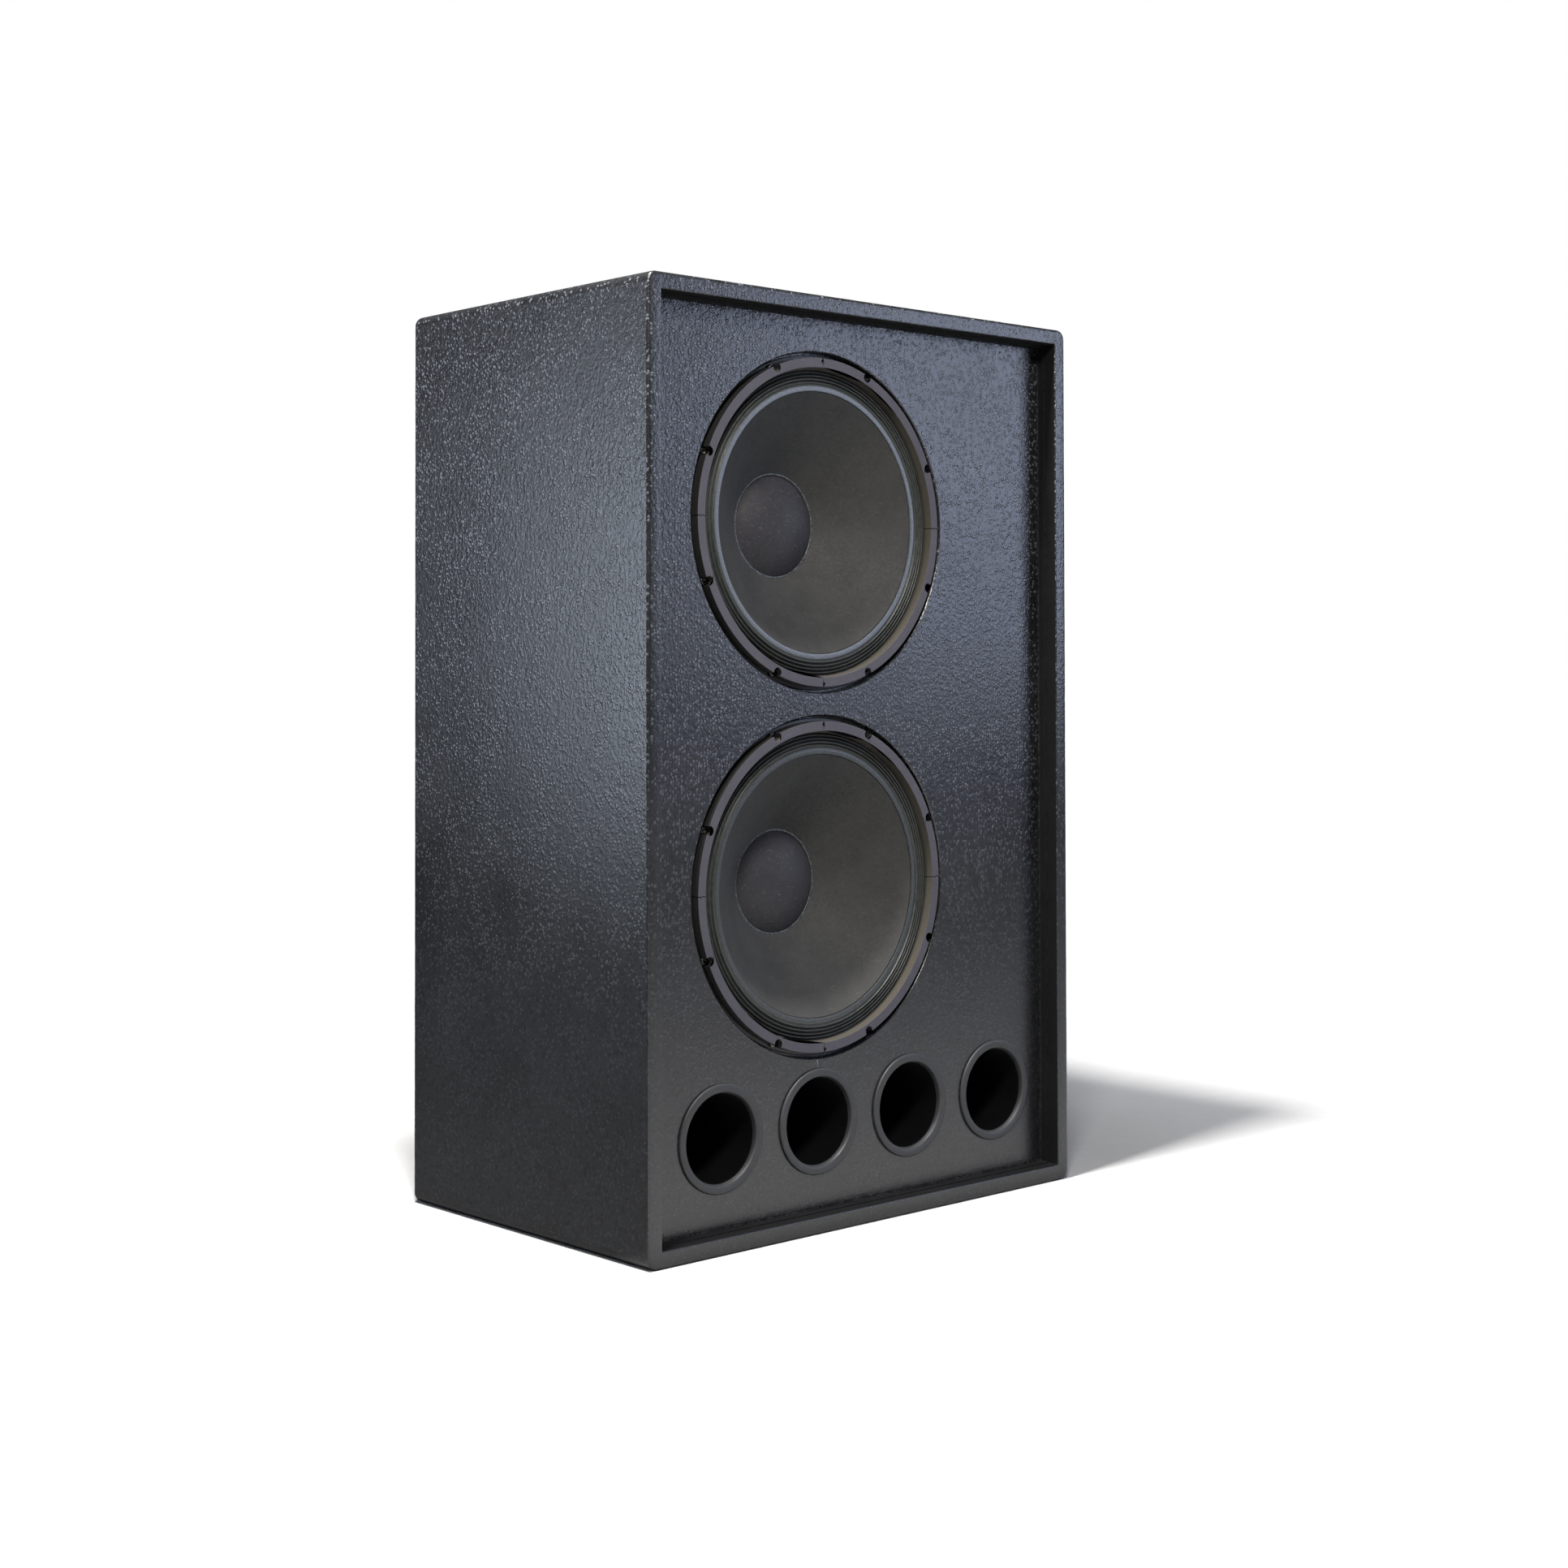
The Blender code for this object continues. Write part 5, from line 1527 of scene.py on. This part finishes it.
def makeFloor():
    bm = bmesh.new()
    bmesh.ops.create_grid(bm, x_segments=1, y_segments=1, size=40)
    bmesh.ops.translate(bm, verts=bm.verts, vec=(0, 0, boxLow.z - 0.2 * mm))
    material, tree, shader, place = startFinish("paleFloor", 0.9)
    dust = noiseNode(tree, place, 40.0, 3.0)
    paths = tree.nodes.new("ShaderNodeLightPath").outputs
    path = paths["Is Camera Ray"]
    pale = rangeNode(tree, dust, 0.3, 0.7, studio["floor"] - 0.01, studio["floor"] + 0.01)
    dull = mathNode(tree, "MULTIPLY", pale, studio["bounce"] / studio["floor"])
    across = tree.nodes.new("ShaderNodeSeparateXYZ")
    tree.links.new(place, across.inputs["Vector"])
    ahead = rangeNode(tree, across.outputs["Y"], -0.15, -0.30)  # only in front of the box
    sheen = mathNode(tree, "MULTIPLY", paths["Is Glossy Ray"], ahead)
    share = mathNode(tree, "MAXIMUM", path, sheen)
    extra = mathNode(tree, "SUBTRACT", pale, dull)
    shade = mathNode(tree, "ADD", dull, mathNode(tree, "MULTIPLY", share, extra))
    colour = tree.nodes.new("ShaderNodeCombineColor")
    for socket in colour.inputs[:3]:
        tree.links.new(shade, socket)
    tree.links.new(colour.outputs[0], shader.inputs["Base Color"])
    shader.inputs["Specular IOR Level"].default_value = 0.0
    length = tree.nodes.new("ShaderNodeVectorMath")
    length.operation = "LENGTH"
    tree.links.new(place, length.inputs[0])
    glow = rangeNode(tree, length.outputs["Value"], studio["clearFrom"], studio["clearTo"])
    shader.inputs["Emission Color"].default_value = (1, 1, 1, 1)
    tree.links.new(mathNode(tree, "MULTIPLY", glow, path), shader.inputs["Emission Strength"])
    finishMesh("studio_floor", bm, material)


lamps = {  # place, target, size, watts, colour
    "topKey": ((-0.70, -0.29, 2.80), (0.1, 0.0, 0.0), (0.28, 0.28), 170, (1.0, 0.985, 0.96)),
    "rightBank": ((1.95, -1.95, 1.27), (0.1, -0.2, 0.80), (1.1, 1.3), 23, (0.66, 0.75, 1.0)),
    "sideBank": ((-2.05, 1.45, 0.80), (-0.33, -0.2, 0.62), (0.6, 0.9), 14, (0.74, 0.84, 1.0)),
    "frontTop": ((-1.20, -1.50, 2.20), (-0.05, -0.2, 0.6), (0.4, 0.4), 52, (1.0, 0.97, 0.92)),
}


def softLight(name, place, target, size, power, colour):
    data = bpy.data.lights.new(name, "AREA")
    data.shape = "RECTANGLE"
    data.size, data.size_y = size
    data.energy = power
    data.color = colour
    lamp = bpy.data.objects.new(name, data)
    bpy.context.scene.collection.objects.link(lamp)
    lamp.location = place
    lamp.rotation_euler = (Vector(target) - Vector(place)).to_track_quat("-Z", "Y").to_euler()


def makeWorld():
    world = bpy.data.worlds.new("studioWorld")
    bpy.context.scene.world = world
    world.use_nodes = True
    tree = world.node_tree
    seen = tree.nodes["Background"]
    seen.inputs["Color"].default_value = (1, 1, 1, 1)
    around = tree.nodes.new("ShaderNodeBackground")
    around.inputs["Color"].default_value = (0.93, 0.96, 1.0, 1)
    around.inputs["Strength"].default_value = studio["surroundings"]
    mix = tree.nodes.new("ShaderNodeMixShader")
    path = tree.nodes.new("ShaderNodeLightPath")
    tree.links.new(path.outputs["Is Camera Ray"], mix.inputs["Fac"])
    tree.links.new(around.outputs[0], mix.inputs[1])
    tree.links.new(seen.outputs[0], mix.inputs[2])
    tree.links.new(mix.outputs[0], tree.nodes["World Output"].inputs["Surface"])


makeFloor()
makeWorld()
for name, values in lamps.items():
    softLight(name, *values)
bpy.context.scene.view_settings.view_transform = "Standard"
print("studio set")
